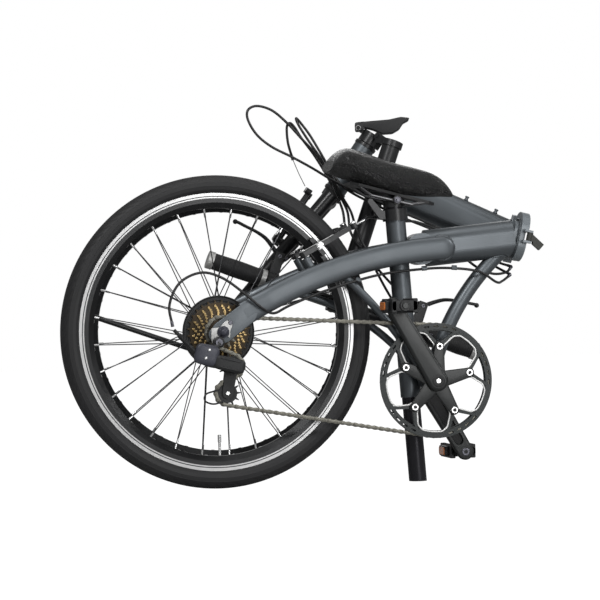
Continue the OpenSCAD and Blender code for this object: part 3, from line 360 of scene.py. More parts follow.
# Node groups and finishes


def fill(tree, node, values):
    """Sets or links a node's inputs by name or number."""
    for key, value in values.items():
        if isinstance(value, bpy.types.NodeSocket):
            tree.links.new(value, node.inputs[key])
        else:
            node.inputs[key].default_value = value


def add(tree, kind, values=None, **settings):
    """A node with its settings, and its inputs set or linked."""
    made = tree.nodes.new(kind)
    for key, value in settings.items():
        setattr(made, key, value)
    fill(tree, made, values or {})
    return made


def noise(tree, vector, scale, detail):
    """The value of a noise texture."""
    values = {"Vector": vector, "Scale": scale, "Detail": detail}
    return add(tree, "ShaderNodeTexNoise", values).outputs["Fac"]


def span(tree, value, start=0.0, end=1.0, low=0.0, high=1.0):
    """A value carried from start and end to low and high, and held there beyond them."""
    ends = {"Value": value, "From Min": start, "From Max": end, "To Min": low, "To Max": high}
    return add(tree, "ShaderNodeMapRange", ends).outputs["Result"]


def maths(tree, operation, first, second, clamp=False):
    """A sum, product or the like of two values."""
    made = add(tree, "ShaderNodeMath", {0: first, 1: second}, operation=operation, use_clamp=clamp)
    return made.outputs[0]


def vector_maths(tree, operation, first, second):
    """The same of two vectors."""
    return add(tree, "ShaderNodeVectorMath", {0: first, 1: second}, operation=operation).outputs[0]


def bump(tree, shader, height, strength, distance):
    """Tilts the shader's normal by a height, and gives that normal."""
    made = add(tree, "ShaderNodeBump", {"Height": height, "Strength": strength, "Distance": distance})
    fill(tree, shader, {"Normal": made.outputs["Normal"]})
    return made.outputs["Normal"]


def group_sockets(name, inputs, outputs):
    """A new shader node group that reads a place and the named values: its tree, its inputs and its end
    node."""
    tree = bpy.data.node_groups.new(name, "ShaderNodeTree")
    tree.interface.new_socket("Vector", in_out="INPUT", socket_type="NodeSocketVector")
    for title, value in inputs.items():
        tree.interface.new_socket(title, in_out="INPUT", socket_type="NodeSocketFloat").default_value = value
    for title in outputs:
        tree.interface.new_socket(title, in_out="OUTPUT", socket_type="NodeSocketFloat")
    return tree, tree.nodes.new("NodeGroupInput").outputs, tree.nodes.new("NodeGroupOutput")


def grain_group():
    """Fine unevenness of a coat or a moulding: a height, and a slow tone from 0 to 1."""
    tree, given, end = group_sockets("Surface grain", {"Scale": 900.0, "Patch": 9.0}, ("Height", "Tone"))
    fine = noise(tree, given["Vector"], given["Scale"], 2.0)
    slow = noise(tree, given["Vector"], given["Patch"], 3.0)
    fill(tree, end, {"Height": fine, "Tone": span(tree, slow, 0.3, 0.7)})
    return tree


def scuff_group():
    """Rub marks: thin stretched streaks inside large worn patches."""
    tree, given, end = group_sockets("Rub marks", {"Amount": 0.3}, ("Mask",))
    lie = {"Vector": given["Vector"], "Rotation": (0.4, 0.9, 0.2), "Scale": (30, 420, 160)}
    lean = add(tree, "ShaderNodeMapping", lie).outputs["Vector"]
    thin = span(tree, noise(tree, lean, 1.0, 3.0), 0.6, 0.72)
    worn = span(tree, noise(tree, given["Vector"], 16.0, 2.0), 0.48, 0.7)
    both = maths(tree, "MULTIPLY", thin, worn)
    fill(tree, end, {"Mask": maths(tree, "MULTIPLY", both, given["Amount"], True)})
    return tree


def dust_group():
    """A light film that gathers where the surface looks up."""
    tree, given, end = group_sockets("Dust film", {"Amount": 0.1}, ("Mask",))
    normal = add(tree, "ShaderNodeNewGeometry").outputs["Normal"]
    up = span(tree, add(tree, "ShaderNodeSeparateXYZ", {"Vector": normal}).outputs["Z"], 0.2, 1.0)
    both = maths(tree, "MULTIPLY", up, noise(tree, given["Vector"], 60.0, 5.0))
    fill(tree, end, {"Mask": maths(tree, "MULTIPLY", both, given["Amount"], True)})
    return tree


def turned_group():
    """Fine rings left by a lathe, and the distance from the Y axis of the mapped place."""
    tree, given, end = group_sockets("Turned rings", {"Pitch": 1500.0}, ("Radius", "Height"))
    parts = add(tree, "ShaderNodeSeparateXYZ", {"Vector": given["Vector"]}).outputs
    flat = add(tree, "ShaderNodeCombineXYZ", {"X": parts["X"], "Y": parts["Z"]}).outputs[0]
    size = add(tree, "ShaderNodeVectorMath", {0: flat}, operation="LENGTH").outputs["Value"]
    place = {"W": maths(tree, "MULTIPLY", size, given["Pitch"]), "Scale": 1.0, "Detail": 2.0}
    rings = add(tree, "ShaderNodeTexNoise", place, noise_dimensions="1D").outputs["Fac"]
    fill(tree, end, {"Radius": size, "Height": rings})
    return tree


GROUPS = {}


def effect(tree, name, vector, **values):
    """The outputs of a shared node group, placed with its own values."""
    return add(tree, "ShaderNodeGroup", {"Vector": vector, **values}, node_tree=GROUPS[name]).outputs


def mix_colour(tree, factor, first, second):
    """A colour between two, each a tuple or a socket, by a factor socket."""
    ends = [v if isinstance(v, bpy.types.NodeSocket) else (*v[:3], 1) for v in (first, second)]
    return add(tree, "ShaderNodeMix", {0: factor, 6: ends[0], 7: ends[1]}, data_type="RGBA").outputs[2]


def shade(colour, by):
    """A colour times a number, no channel over 1."""
    return tuple(min(1.0, c * by) for c in colour[:3])


def new_finish(name):
    """An empty node material with a Principled shader and Object coordinates."""
    made = bpy.data.materials.new(name)
    made.use_nodes = True
    tree = made.node_tree
    return made, tree, tree.nodes["Principled BSDF"], add(tree, "ShaderNodeTexCoord").outputs["Object"]


DUST_COLOUR = (0.2, 0.19, 0.18)
PALE_DUST = (0.4, 0.38, 0.36)


def coat(name, colour, rough, metal, grain, depth, scuffs, dust, glaze, tone):
    """A painted, moulded or plated finish: slow tone, fine grain, rub marks and dust on one base colour."""
    made, tree, shader, place = new_finish(name)
    fine = effect(tree, "grain", place, Scale=grain)
    rub = effect(tree, "scuff", place, Amount=scuffs)["Mask"]
    film = effect(tree, "dust", place, Amount=dust)["Mask"]
    base = mix_colour(tree, fine["Tone"], shade(colour, 1 - tone), shade(colour, 1 + tone))
    worn = mix_colour(tree, rub, base, tuple(0.5 * c + 0.05 for c in colour[:3]))
    uneven = span(tree, fine["Tone"], low=rough - 0.06, high=rough + 0.08)
    bump(tree, shader, fine["Height"], depth, 0.0004)
    fill(tree, shader, {
        "Base Color": mix_colour(tree, film, worn, DUST_COLOUR),
        "Roughness": maths(tree, "ADD", uneven, film, True),
        "Metallic": metal,
        "Specular IOR Level": 0.4,
        "Coat Weight": glaze,
        "Coat Roughness": 0.18,
    })
    return made


def wheel_place(tree, place, wheel):
    """Object coordinates turned and moved into a wheel's own frame, with Y along its axle."""
    back = wheel.inverted()
    lie = {"Vector": place, "Location": back.to_translation() * MM, "Rotation": back.to_euler("XYZ")}
    return add(tree, "ShaderNodeMapping", lie).outputs["Vector"]


GROOVE_HALF = 0.95


def two_zone(name, wheel, edge, inner, outer, rough, metal, pitch, top, groove=0.0):
    """A wheel finish that changes at one radius, and back at another, with lathe rings on the outer zone
    and a dark line at a third radius. rough and metal hold a value for each zone."""
    made, tree, shader, place = new_finish(name)
    rings = effect(tree, "turned", wheel_place(tree, place, wheel), Pitch=pitch)
    fine = effect(tree, "grain", place, Scale=700.0, Patch=20.0)

    def ring_mask(low, high, soft):
        """1 between two radii, in millimetres, and 0 elsewhere."""
        steps = [span(tree, rings["Radius"], (r - soft) * MM, (r + soft) * MM) for r in (low, high)]
        return maths(tree, "SUBTRACT", *steps, True)

    band = ring_mask(edge, top, 0.3)
    bright = mix_colour(tree, rings["Height"], shade(outer, 0.72), shade(outer, 1.15))
    dark = mix_colour(tree, fine["Tone"], shade(inner, 0.8), shade(inner, 1.25))
    if groove:
        line = ring_mask(groove - GROOVE_HALF, groove + GROOVE_HALF, 0.2)
        bright = mix_colour(tree, line, bright, shade(inner, 2.0))
    bump(tree, shader, rings["Height"], 0.12, 0.0002)
    fill(tree, shader, {
        "Base Color": mix_colour(tree, band, dark, bright),
        "Roughness": span(tree, band, low=rough[0], high=rough[1]),
        "Metallic": span(tree, band, low=metal[0], high=metal[1]),
    })
    return made


def leather(name, colour, grain):
    """Embossed hide: pebbles from cell distances in two sizes, with painted shade that darkens the creases
    between the pebbles, and a gloss that lies on the pebbles' tops.
    """
    made, tree, shader, place = new_finish(name)
    warp = add(tree, "ShaderNodeTexNoise", {"Vector": place, "Scale": 60.0, "Detail": 2.0}).outputs["Color"]
    bent = vector_maths(tree, "ADD", place, vector_maths(tree, "MULTIPLY", warp, (0.004, 0.004, 0.004)))

    def cells(scale):
        """The distance from the nearest edge of a pebble."""
        spots = {"Vector": bent, "Scale": scale}
        return add(tree, "ShaderNodeTexVoronoi", spots, feature="DISTANCE_TO_EDGE").outputs["Distance"]

    top = span(tree, cells(grain), end=0.16)
    height = maths(tree, "ADD", top, span(tree, cells(grain * 2.6), end=0.2, high=0.35))
    film = effect(tree, "dust", place, Amount=0.06)["Mask"]
    slow = effect(tree, "grain", place, Scale=300.0, Patch=14.0)["Tone"]
    base = mix_colour(tree, slow, shade(colour, 0.75), shade(colour, 1.35))
    # painted shade: the creases at the pebbles' edges are drawn down to 0.4 of the colour
    deep = mix_colour(tree, top, shade(colour, 0.4), base)
    fill(tree, shader, {
        "Base Color": mix_colour(tree, film, deep, PALE_DUST),
        "Roughness": span(tree, height, end=1.35, low=0.5, high=0.27),
        "Coat Normal": bump(tree, shader, height, 1.0, 0.002),
        "Specular IOR Level": 0.4,
        "Coat Weight": 0.55,
        "Coat Roughness": 0.14,
    })
    return made


def lens(name, colour):
    """Moulded reflector plastic: a square lattice of small prisms under a clear gloss, each prism drawn
    lighter at its middle and darker at its edges as painted glint and shade.
    """
    made, tree, shader, place = new_finish(name)
    lie = {"Vector": place, "Rotation": (0.785, 0, 0), "Scale": (420, 420, 420)}
    lean = add(tree, "ShaderNodeMapping", lie).outputs[0]
    lattice = {"Vector": lean, "Scale": 1.0, "Randomness": 0.0}
    prisms = add(tree, "ShaderNodeTexVoronoi", lattice, distance="CHEBYCHEV").outputs["Distance"]
    bump(tree, shader, prisms, 0.5, 0.0008)
    # painted glint and shade: each prism is drawn lighter at its middle and darker towards its edges
    fill(tree, shader, {
        "Base Color": mix_colour(tree, prisms, shade(colour, 1.3), shade(colour, 0.55)),
        "Roughness": 0.22,
        "Coat Weight": 0.6,
    })
    return made


FINISH = {}


def colour_prop(name, description, default):
    """A colour that a user may change."""
    return bpy.props.FloatVectorProperty(name=name, description=description, subtype="COLOR", default=default)


def length_prop(name, description, default):
    """A length in metres that a user may change."""
    return bpy.props.FloatProperty(
        name=name, description=description, default=default, unit="LENGTH", precision=4
    )


class BicycleColours(bpy.types.PropertyGroup):
    """Colours of the main finishes."""

    frame: colour_prop("Frame", "Satin metallic paint of the frame", (0.112, 0.124, 0.134))
    hinge: colour_prop("Hinge", "Paint of the hinge blocks", (0.17, 0.19, 0.205))
    black: colour_prop("Black", "Satin black of the fork, posts and cranks", (0.012, 0.0124, 0.0134))
    rubber: colour_prop("Rubber", "Tyres, grips and pads", (0.0095, 0.0096, 0.0104))
    metal: colour_prop("Bright metal", "Bolts, rails and brake track", (0.72, 0.72, 0.72))
    cogs: colour_prop("Sprockets", "Golden brown sprockets", (0.46, 0.33, 0.15))
    hide: colour_prop("Saddle", "Grained cover of the saddle", (0.0105, 0.0108, 0.011))
    reflector: colour_prop("Reflector", "Pedal reflectors", (0.7, 0.2, 0.03))


class BicycleSizes(bpy.types.PropertyGroup):
    """Sizes of the details that are made here."""

    tread: length_prop("Tread depth", "Depth of the tyre's grooves", 0.0011)
    cable: length_prop("Cable", "Diameter of a cable casing", 0.005)
    bead: length_prop("Weld", "Half width of a weld bead", 0.0022)
    rib: length_prop("Grip rib", "Distance between a grip's ribs", 0.0036)
    pebble: bpy.props.FloatProperty(
        name="Hide grain", description="Pebbles in a metre of the saddle's cover", default=230.0
    )


def colours():
    """The colours as the scene holds them."""
    return bpy.context.scene.bicycle_colours


def sizes():
    """The sizes as the scene holds them."""
    return bpy.context.scene.bicycle_sizes


# Stage

CAMERA_AT = Vector((-1.1355, -4.7118, 0.3492))
AIM_AT = Vector((-0.2196, 0.0, 0.3492))
PICTURE_PIXELS = 600
PIXEL_WIDE = 0.001885
ROLL = math.radians(1.46)
SENSOR = 36.0
# Name, place, width in metres, watts
LAMPS = (
    ("key", (-1.7, -2.6, 2.6), 0.8, 54.0),
    ("fill", (3.0, -1.5, 2.0), 1.4, 36.0),
    ("top", (0.2, -0.6, 2.8), 1.8, 16.0),
    ("back", (0.6, 2.7, 1.7), 1.6, 12.0),
    ("front", (1.1, -4.6, 0.9), 2.0, 62.0),
)
LIT_AT = Vector((-0.15, 0.1, 0.35))
WORLD_LIGHT = 0.3
WORLD_MIRRORED = 0.3
FLOOR_GLOW = 1.15
FLOOR_SHARE = 0.92
FLOOR_REACH = 9.0
FLOOR_GAP = 0.0005


def seen_by(tree, camera, glossy, other):
    """A socket that is one value for the camera, one for a mirrored ray and one for any other ray."""
    ray = add(tree, "ShaderNodeLightPath").outputs
    unseen = span(tree, ray["Is Glossy Ray"], low=other, high=glossy)
    clear = maths(tree, "ADD", ray["Is Camera Ray"], ray["Is Transmission Ray"], True)
    return span(tree, clear, low=unseen, high=camera)


class BICYCLE_OT_stage(bpy.types.Operator):
    """Camera, lamps, world and a plain pale floor"""

    bl_idname = "bicycle.stage"
    bl_label = "Stage"

    def execute(self, context):
        scene = context.scene
        scene.view_settings.view_transform = "Standard"
        ahead = (AIM_AT - CAMERA_AT).normalized()
        right = ahead.cross(Vector((0, 0, 1))).normalized()
        up = right.cross(ahead)
        across = right * math.cos(ROLL) - up * math.sin(ROLL)
        upward = right * math.sin(ROLL) + up * math.cos(ROLL)
        lens_data = bpy.data.cameras.new("camera")
        lens_data.sensor_width = SENSOR
        lens_data.lens = SENSOR * (AIM_AT - CAMERA_AT).length / (PICTURE_PIXELS * PIXEL_WIDE)
        lens_data.clip_end = 60.0
        camera = bpy.data.objects.new("camera", lens_data)
        turned = Matrix((across, upward, -ahead)).transposed()
        camera.matrix_world = Matrix.Translation(CAMERA_AT) @ turned.to_4x4()
        scene.collection.objects.link(camera)
        scene.camera = camera
        for name, at, size, power in LAMPS:
            lamp = bpy.data.lights.new(name, "AREA")
            lamp.shape = "DISK"
            lamp.size = size
            lamp.energy = power
            made = bpy.data.objects.new(name, lamp)
            made.location = at
            made.rotation_euler = (LIT_AT - Vector(at)).to_track_quat("-Z", "Y").to_euler()
            scene.collection.objects.link(made)
        world = bpy.data.worlds.new("studio")
        world.use_nodes = True
        scene.world = world
        tree = world.node_tree
        light = seen_by(tree, 1.0, WORLD_MIRRORED, WORLD_LIGHT)
        fill(tree, tree.nodes["Background"], {"Color": (1, 1, 1, 1), "Strength": light})
        self.floor(scene)
        return {"FINISHED"}

    def floor(self, scene):
        """A square just under the object, which glows to the camera and keeps the object's shadow."""
        mesh = bpy.data.meshes.new("floor")
        lowest = min(0.0, SOLID_BOX[0].z) - FLOOR_GAP
        square = ((-1, -1), (1, -1), (1, 1), (-1, 1))
        corners = [(x * FLOOR_REACH, y * FLOOR_REACH, lowest) for x, y in square]
        mesh.from_pydata(corners, [], [(0, 1, 2, 3)])
        made = bpy.data.objects.new("floor", mesh)
        scene.collection.objects.link(made)
        finish = bpy.data.materials.new("pale floor")
        finish.use_nodes = True
        tree = finish.node_tree
        paint = tree.nodes["Principled BSDF"]
        fill(tree, paint, {"Base Color": (0.4, 0.4, 0.4, 1), "Roughness": 0.9, "Specular IOR Level": 0.1})
        glow = add(tree, "ShaderNodeEmission", {"Color": (1, 1, 1, 1), "Strength": FLOOR_GLOW})
        part = seen_by(tree, FLOOR_SHARE, 0.0, 0.0)
        both = add(tree, "ShaderNodeMixShader", {0: part, 1: paint.outputs[0], 2: glow.outputs[0]})
        tree.links.new(both.outputs[0], tree.nodes["Material Output"].inputs["Surface"])
        mesh.materials.append(finish)


# Finishes of the solids


def make_finishes():
    """Every finish that the pieces and the solids share."""
    c = colours()
    GROUPS.update(grain=grain_group(), scuff=scuff_group(), dust=dust_group(), turned=turned_group())
    black, metal = c.black, c.metal
    # Finish, name, colour, roughness, metal, grain, its depth, scuffs, dust, glaze, tone
    coats = (
        ("frame", "frame paint", c.frame, 0.45, 0.88, 1500.0, 0.02, 0.05, 0.04, 0.1, 0.06),
        ("bead", "weld paint", shade(c.frame, 0.95), 0.46, 0.86, 1100.0, 0.1, 0.05, 0.05, 0.2, 0.1),
        ("hinge", "hinge paint", c.hinge, 0.42, 0.35, 1300.0, 0.06, 0.1, 0.05, 0.15, 0.06),
        ("black", "satin black", black, 0.36, 0.2, 1300.0, 0.06, 0.12, 0.05, 0.15, 0.15),
        ("post", "post black", (0.02, 0.0195, 0.023), 0.3, 0.6, 900.0, 0.04, 0.2, 0.03, 0.0, 0.1),
        ("crank", "crank black", (0.018, 0.0195, 0.0195), 0.38, 0.3, 1100.0, 0.06, 0.12, 0.05, 0.1, 0.12),
        ("ring", "ring black", (0.0125, 0.0165, 0.0165), 0.46, 0.1, 1200.0, 0.05, 0.15, 0.05, 0.1, 0.12),
        ("latch", "latch black", (0.03, 0.031, 0.027), 0.45, 0.2, 900.0, 0.08, 0.2, 0.06, 0.0, 0.15),
        ("plastic", "moulded black", shade(black, 0.9), 0.48, 0.0, 700.0, 0.16, 0.1, 0.07, 0.0, 0.15),
        ("knuckle", "knuckle grey", (0.042, 0.044, 0.058), 0.42, 0.2, 900.0, 0.1, 0.1, 0.05, 0.05, 0.1),
        ("rubber", "rubber", c.rubber, 0.62, 0.0, 650.0, 0.22, 0.1, 0.12, 0.0, 0.2),
        ("tyre", "tyre rubber", shade(c.rubber, 1.25), 0.55, 0.0, 800.0, 0.2, 0.06, 0.1, 0.0, 0.18),
        ("casing", "cable casing", shade(c.rubber, 0.9), 0.38, 0.0, 1200.0, 0.06, 0.05, 0.04, 0.1, 0.15),
        ("bright", "bright steel", metal, 0.24, 1.0, 900.0, 0.05, 0.25, 0.03, 0.0, 0.12),
        ("satin", "satin steel", shade(metal, 0.82), 0.36, 1.0, 1100.0, 0.08, 0.3, 0.04, 0.0, 0.15),
        ("alloy", "satin alloy", (0.5, 0.5, 0.49), 0.46, 0.75, 1100.0, 0.03, 0.1, 0.03, 0.0, 0.08),
        ("edge", "machined edge", (0.74, 0.74, 0.73), 0.4, 0.5, 1100.0, 0.02, 0.05, 0.02, 0.0, 0.06),
        ("dark", "dark steel", (0.1, 0.1, 0.115), 0.32, 0.85, 900.0, 0.06, 0.25, 0.05, 0.0, 0.15),
        ("wire", "spoke steel", (0.16, 0.16, 0.165), 0.3, 1.0, 900.0, 0.04, 0.1, 0.03, 0.0, 0.15),
        ("chain", "chain steel", (0.15, 0.145, 0.125), 0.42, 0.9, 900.0, 0.08, 0.35, 0.1, 0.0, 0.25),
        ("cogs", "sprocket brown", c.cogs, 0.34, 0.9, 800.0, 0.08, 0.5, 0.06, 0.0, 0.35),
        # painted shade: this finish's dark is partly oiled steel and partly the shade in the gaps between the
        # sprockets
        ("oil", "sprocket oil", (0.05, 0.036, 0.021), 0.4, 0.6, 800.0, 0.08, 0.3, 0.05, 0.0, 0.3),
    )
    for finish, *values in coats:
        FINISH[finish] = coat(*values)
    FINISH["hide"] = leather("saddle hide", c.hide, sizes().pebble)
    FINISH["lens"] = lens("reflector", c.reflector)
    for name, at in WHEELS:
        FINISH[f"{name}_rim"] = two_zone(
            f"{name} rim finish", at, edge=250.2, inner=black, outer=shade(metal, 0.72), rough=(0.3, 0.3),
            metal=(0.3, 0.7), pitch=2600.0, top=262.0, groove=253.4,
        )
        FINISH[f"{name}_spokes"] = two_zone(
            f"{name} spoke finish", at, edge=222.4, inner=(0.07, 0.07, 0.073), outer=metal, rough=(0.3, 0.2),
            metal=(1.0, 1.0), pitch=900.0, top=240.0,
        )


SOLID_FINISH = {
    "frame": ("rear_frame", "down_strut", "stay_right", "stay_left", "lower_struts", "front_frame"),
    "hinge": ("hinge_plate_rear", "hinge_plate_front"),
    "black": (
        "fork", "post_base", "handlepost", "handlebar", "headset", "seat_clamp", "saddle_clamp",
        "kickstand", "front_brake_right", "front_brake_left", "rear_brake_right", "rear_brake_left",
        "seat_lever", "post_latch",
    ),
    "post": ("seat_post",),
    "crank": ("crank_right", "crank_left"),
    "ring": ("chainring",),
    "latch": ("frame_latch",),
    "plastic": (
        "saddle_base", "derailleur_body", "derailleur_cage", "guide_pulley", "tension_pulley", "pedal_right",
        "pedal_left", "lever_mounts", "brake_lever_left", "brake_lever_right", "spoke_guard",
    ),
    "bright": ("derailleur_hanger", "rear_valve", "crank_bolts"),
    "satin": ("bracket_cups", "rear_hub", "front_hub"),
    "dark": ("rear_axle", "front_axle"),
    "wire": ("saddle_rails",),
    "chain": ("chain",),
    "cogs": ("cassette",),
    "rear_rim": ("rear_rim",),
    "front_rim": ("front_rim",),
    "rear_spokes": ("rear_spokes",),
    "front_spokes": ("front_spokes",),
    "rubber": ("grips", "rear_tyre", "front_tyre"),
    "casing": ("rear_brake_cable", "shift_cable", "bar_cables"),
    "hide": ("saddle_cushion",),
}


class BICYCLE_OT_finishes(bpy.types.Operator):
    """Gives each solid its finish"""

    bl_idname = "bicycle.finishes"
    bl_label = "Finishes"

    def execute(self, context):
        make_finishes()
        for finish, names in SOLID_FINISH.items():
            for name in names:
                mesh = frame["nodes"][name].data
                mesh.materials.clear()
                mesh.materials.append(FINISH[finish])
        return {"FINISHED"}


# Cables, by the points of the solids' routes, in millimetres from the floor under the rear hub

SHIFT_ROUTE = [
    (584, 42, 388), (562, 22, 376), (540, -14, 374), (505, -25, 394), (455, -25, 402), (395, -32, 402),
    (300, -50, 392), (200, -60, 366), (130, -62, 340), (96, -72, 326), (70, -84, 338), (42, -86, 362),
    (0, -85, 393), (-40, -84, 404), (-80, -84, 386), (-100, -85, 346), (-95, -85, 306),
]
BRAKE_ROUTE = [
    (587, 42, 404), (572, 36, 392), (540, 33, 392), (500, 33, 415), (450, 33, 470), (400, 31, 492),
    (372, 30, 495), (330, 29, 500), (302, 14, 503), (284, -18, 497),
]
FRONT_BRAKE_ROUTE = [
    (150.6, 95.7, 425.7), (180, 78, 446), (215, 70, 470), (250, 68, 484), (263.9, 72, 479.5),
    (266.5, 89, 516.6), (257.1, 105.5, 552.2), (242.4, 116, 587.8), (217.8, 116, 628.9),
    (195, 116, 660.1), (181.9, 117, 681.6), (172.5, 118, 691.4), (166.1, 118, 683.8), (167.8, 119, 652.9),
    (178.1, 126, 620.3),
]
FRONT_WIRE = [(178.1, 126, 620.3), (191.6, 138, 593.7), (205.2, 150, 570.7)]
REAR_BRAKE_ROUTE = [
    (405.8, 87.5, 331.9), (368, 73, 362), (332, 68, 400), (300, 68, 440), (278.2, 75, 475.5),
    (276, 92, 516.6), (264.1, 102, 548.1), (248.1, 106, 583.4), (224, 108, 624.4), (189.6, 108, 663.5),
    (164.4, 106, 690.7), (135.1, 103, 714.8), (105.5, 100, 723.6), (87.4, 98, 715.9), (86.7, 97, 696.7),
    (103.7, 98, 667.8), (132.7, 100, 644.5), (171.5, 101, 624.7), (209.8, 99, 602.9), (247.1, 92, 578.8),
    (283.6, 81, 558.4), (329, 75, 536.1), (385.1, 72, 510.9), (451.8, 64, 479.4), (550, 60, 420),
    (589, 48, 403),
]
SHIFTER_ROUTE = [
    (430.8, 60.5, 274.8), (402.7, 61.4, 285.1), (368, 61, 322), (338, 62, 372), (312, 62, 425),
    (288.6, 68, 478.9), (281.4, 85, 516.2), (267.5, 95, 545.8), (250.8, 100, 583), (229.4, 97, 617.9),
    (201.9, 92, 656.5), (183.7, 90, 685.4), (181.1, 100, 698.7), (189, 111, 694.6), (208.7, 114.5, 669.5),
    (229.5, 114.5, 634.4), (249.5, 111, 597.1), (265.9, 98, 570.1), (287.3, 81, 550.6),
    (332.4, 73.5, 526.4), (384.3, 70, 501.2), (451.6, 64, 470.7), (548, 66, 412), (586, 48, 388),
]
WIRE_R = 0.8
# Piece, body, solid that it stands for, route, lay
CASINGS = (
    ("gear_casing", "rear_frame", "shift_cable", SHIFT_ROUTE, "taut"),
    ("brake_casing", "rear_frame", "rear_brake_cable", BRAKE_ROUTE, "taut"),
    ("front_brake_casing", "front_frame", "bar_cables", FRONT_BRAKE_ROUTE, "loose"),
    ("rear_brake_casing", "front_frame", "bar_cables", REAR_BRAKE_ROUTE, "loose"),
    ("shifter_casing", "front_frame", "bar_cables", SHIFTER_ROUTE, "loose"),
)


def ferrule(form, path, at_end, casing):
    """A metal end cap on a casing: a short tube with a rolled lip, along the casing's last points."""
    tip = path[-1] if at_end else path[0]
    inner = path[-4] if at_end else path[3]
    way = unit(inner - tip)
    s = np.array([0.0, 0.6, 2.0, 2.6, 9.0, 9.6])
    r = casing / 2 + np.array([0.2, 0.7, 0.7, 0.5, 0.5, 0.1])
    form.add(tube(tip + s[:, None] * way, r, 14), SET_DOWN, ends=True)


class BICYCLE_OT_cables(bpy.types.Operator):
    """Brake and gear cables in their casings, with end caps and the bare wire at the front brake"""

    bl_idname = "bicycle.cables"
    bl_label = "Cables"

    def execute(self, context):
        wide = sizes().cable
        caps = {"rear_frame": Form(), "front_frame": Form()}
        for name, body, node, route, lay in CASINGS:
            path = smooth_path(route, 3.0)
            metres = in_metres(path, SET_DOWN)
            curve = bpy.data.curves.new(name, "CURVE")
            curve.dimensions = "3D"
            curve.bevel_depth = wide / 2
            curve.bevel_resolution = 4
            curve.use_fill_caps = True
            line = curve.splines.new("POLY")
            line.points.add(len(metres) - 1)
            line.points.foreach_set("co", np.hstack([metres, np.ones((len(metres), 1))]).ravel())
            curve.materials.append(FINISH["casing"])
            cord = bpy.data.objects.new(name, curve)
            context.scene.collection.objects.link(cord)
            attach(cord, body)
            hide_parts(node)
            for at_end in (False, True):
                ferrule(caps[body], path, at_end, wide / MM)
        for body, form in caps.items():
            form.piece(f"casing_caps_{body}", body, "dark", "dark_steel")
        wire = Form().rod(FRONT_WIRE, 4.0, WIRE_R, 8)
        bare = wire.piece("front_brake_wire", "front_frame", "bright", "silver")
        self.clips()
        return {"FINISHED"}

    def clips(self):
        """Small clips that hold the casing under the main tube: a band bent round the casing, with a foot."""
        a = round_angles(24)
        flat = np.zeros(len(a))
        band = np.stack([flat, 3.4 * np.cos(a), 3.4 * np.sin(a) + 2.4 * np.clip(np.sin(a), 0, 1) ** 4], -1)
        half = np.array([-5.0, -4.6, 4.6, 5.0])
        grow = np.array([0.94, 1.0, 1.0, 0.94])
        grid = band[None] * grow[:, None, None] + np.array([1.0, 0, 0]) * half[:, None, None]
        form = Form()
        for x, y, z, lean in ((455, -25, 402, 5), (395, -32, 402, -4), (262, -54, 383, 16)):
            form.add(grid, SET_DOWN @ move(x, y, z) @ turn(lean, "Y"), ends=True)
        form.piece("casing_clips", "rear_frame", "frame", "frame")


# Saddle

SADDLE_LEN = 250.0
SADDLE_W = 152.0
STITCH_STEP = 4.2
STITCH_LEN = 2.8
WELT_ROWS = (183, 357)
STITCHED = slice(30, 372)
CLAMP_Z = 533.2
POST_LEAN = math.radians(3.6)


def saddle_section(t):
    """Half width, top and bottom of the saddle at t, 0 at the tail and 1 at the nose, as the solid has
    them."""
    width = SADDLE_W / 2 * (0.26 + 0.74 * np.cos(np.minimum(t, 1) * math.pi / 2) ** 2 * (1 - 0.25 * t))
    width = width * np.sin(math.pi * np.minimum(0.5, 0.14 + t * 1.9)) ** 0.55
    width = width * np.sqrt(np.maximum(0, 1 - (np.maximum(0, t - 0.82) / 0.185) ** 2))
    nose, tail = np.maximum(0, t - 0.72) / 0.28, np.maximum(0, 0.12 - t) / 0.12
    top = 22 - 10 * t - 30 * nose**2.4 - 34 * tail**2
    low = -31 - 10 * np.sin(math.pi * np.minimum(1, t * 1.1)) + 8 * (np.maximum(0, t - 0.7) / 0.3) ** 2
    return width, top, low


def saddle_surface(stations, ring):
    """Sections along the length, each round on top and drawn in below and at the waist, with a shallow
    channel along the middle, a sewn welt low on each side and a soft dip ahead of the tail."""
    t = 0.004 + 0.99 * (1 - np.cos(math.pi * np.linspace(0, 1, stations))) / 2
    a = round_angles(ring)
    w, hi, lo = (v[:, None] for v in saddle_section(t))
    c, s = np.cos(a)[None], np.sin(a)[None]
    tt = t[:, None]
    mid = lo + (hi - lo) * 0.42
    draw = np.where(s < 0, 1 - 0.22 * s * s, 1)
    waist = 1 - 0.16 * hump(tt, 0.4, 0.13)
    y = w * waist * draw * signed_power(c, 0.75)
    z = np.where(s > 0, mid + (hi - mid) * np.abs(s) ** 0.7, mid + (mid - lo) * s)
    channel = hump(y, 0, 9.0) * np.where(s > 0, 1, 0) * ramp(tt - 0.12, 0.1) * ramp(0.86 - tt, 0.12)
    dip = 2.2 * hump(tt, 0.47, 0.16) * np.where(s > 0, np.abs(s), 0)
    welt = hump(s, -0.12, 0.035) - 0.8 * hump(s, -0.02, 0.04)
    y = y + np.sign(c) * 0.9 * welt
    z = z - 2.4 * channel - dip
    x = np.repeat(-SADDLE_LEN / 2 + SADDLE_LEN * tt, ring, 1)
    return np.stack([x, y, z], -1)


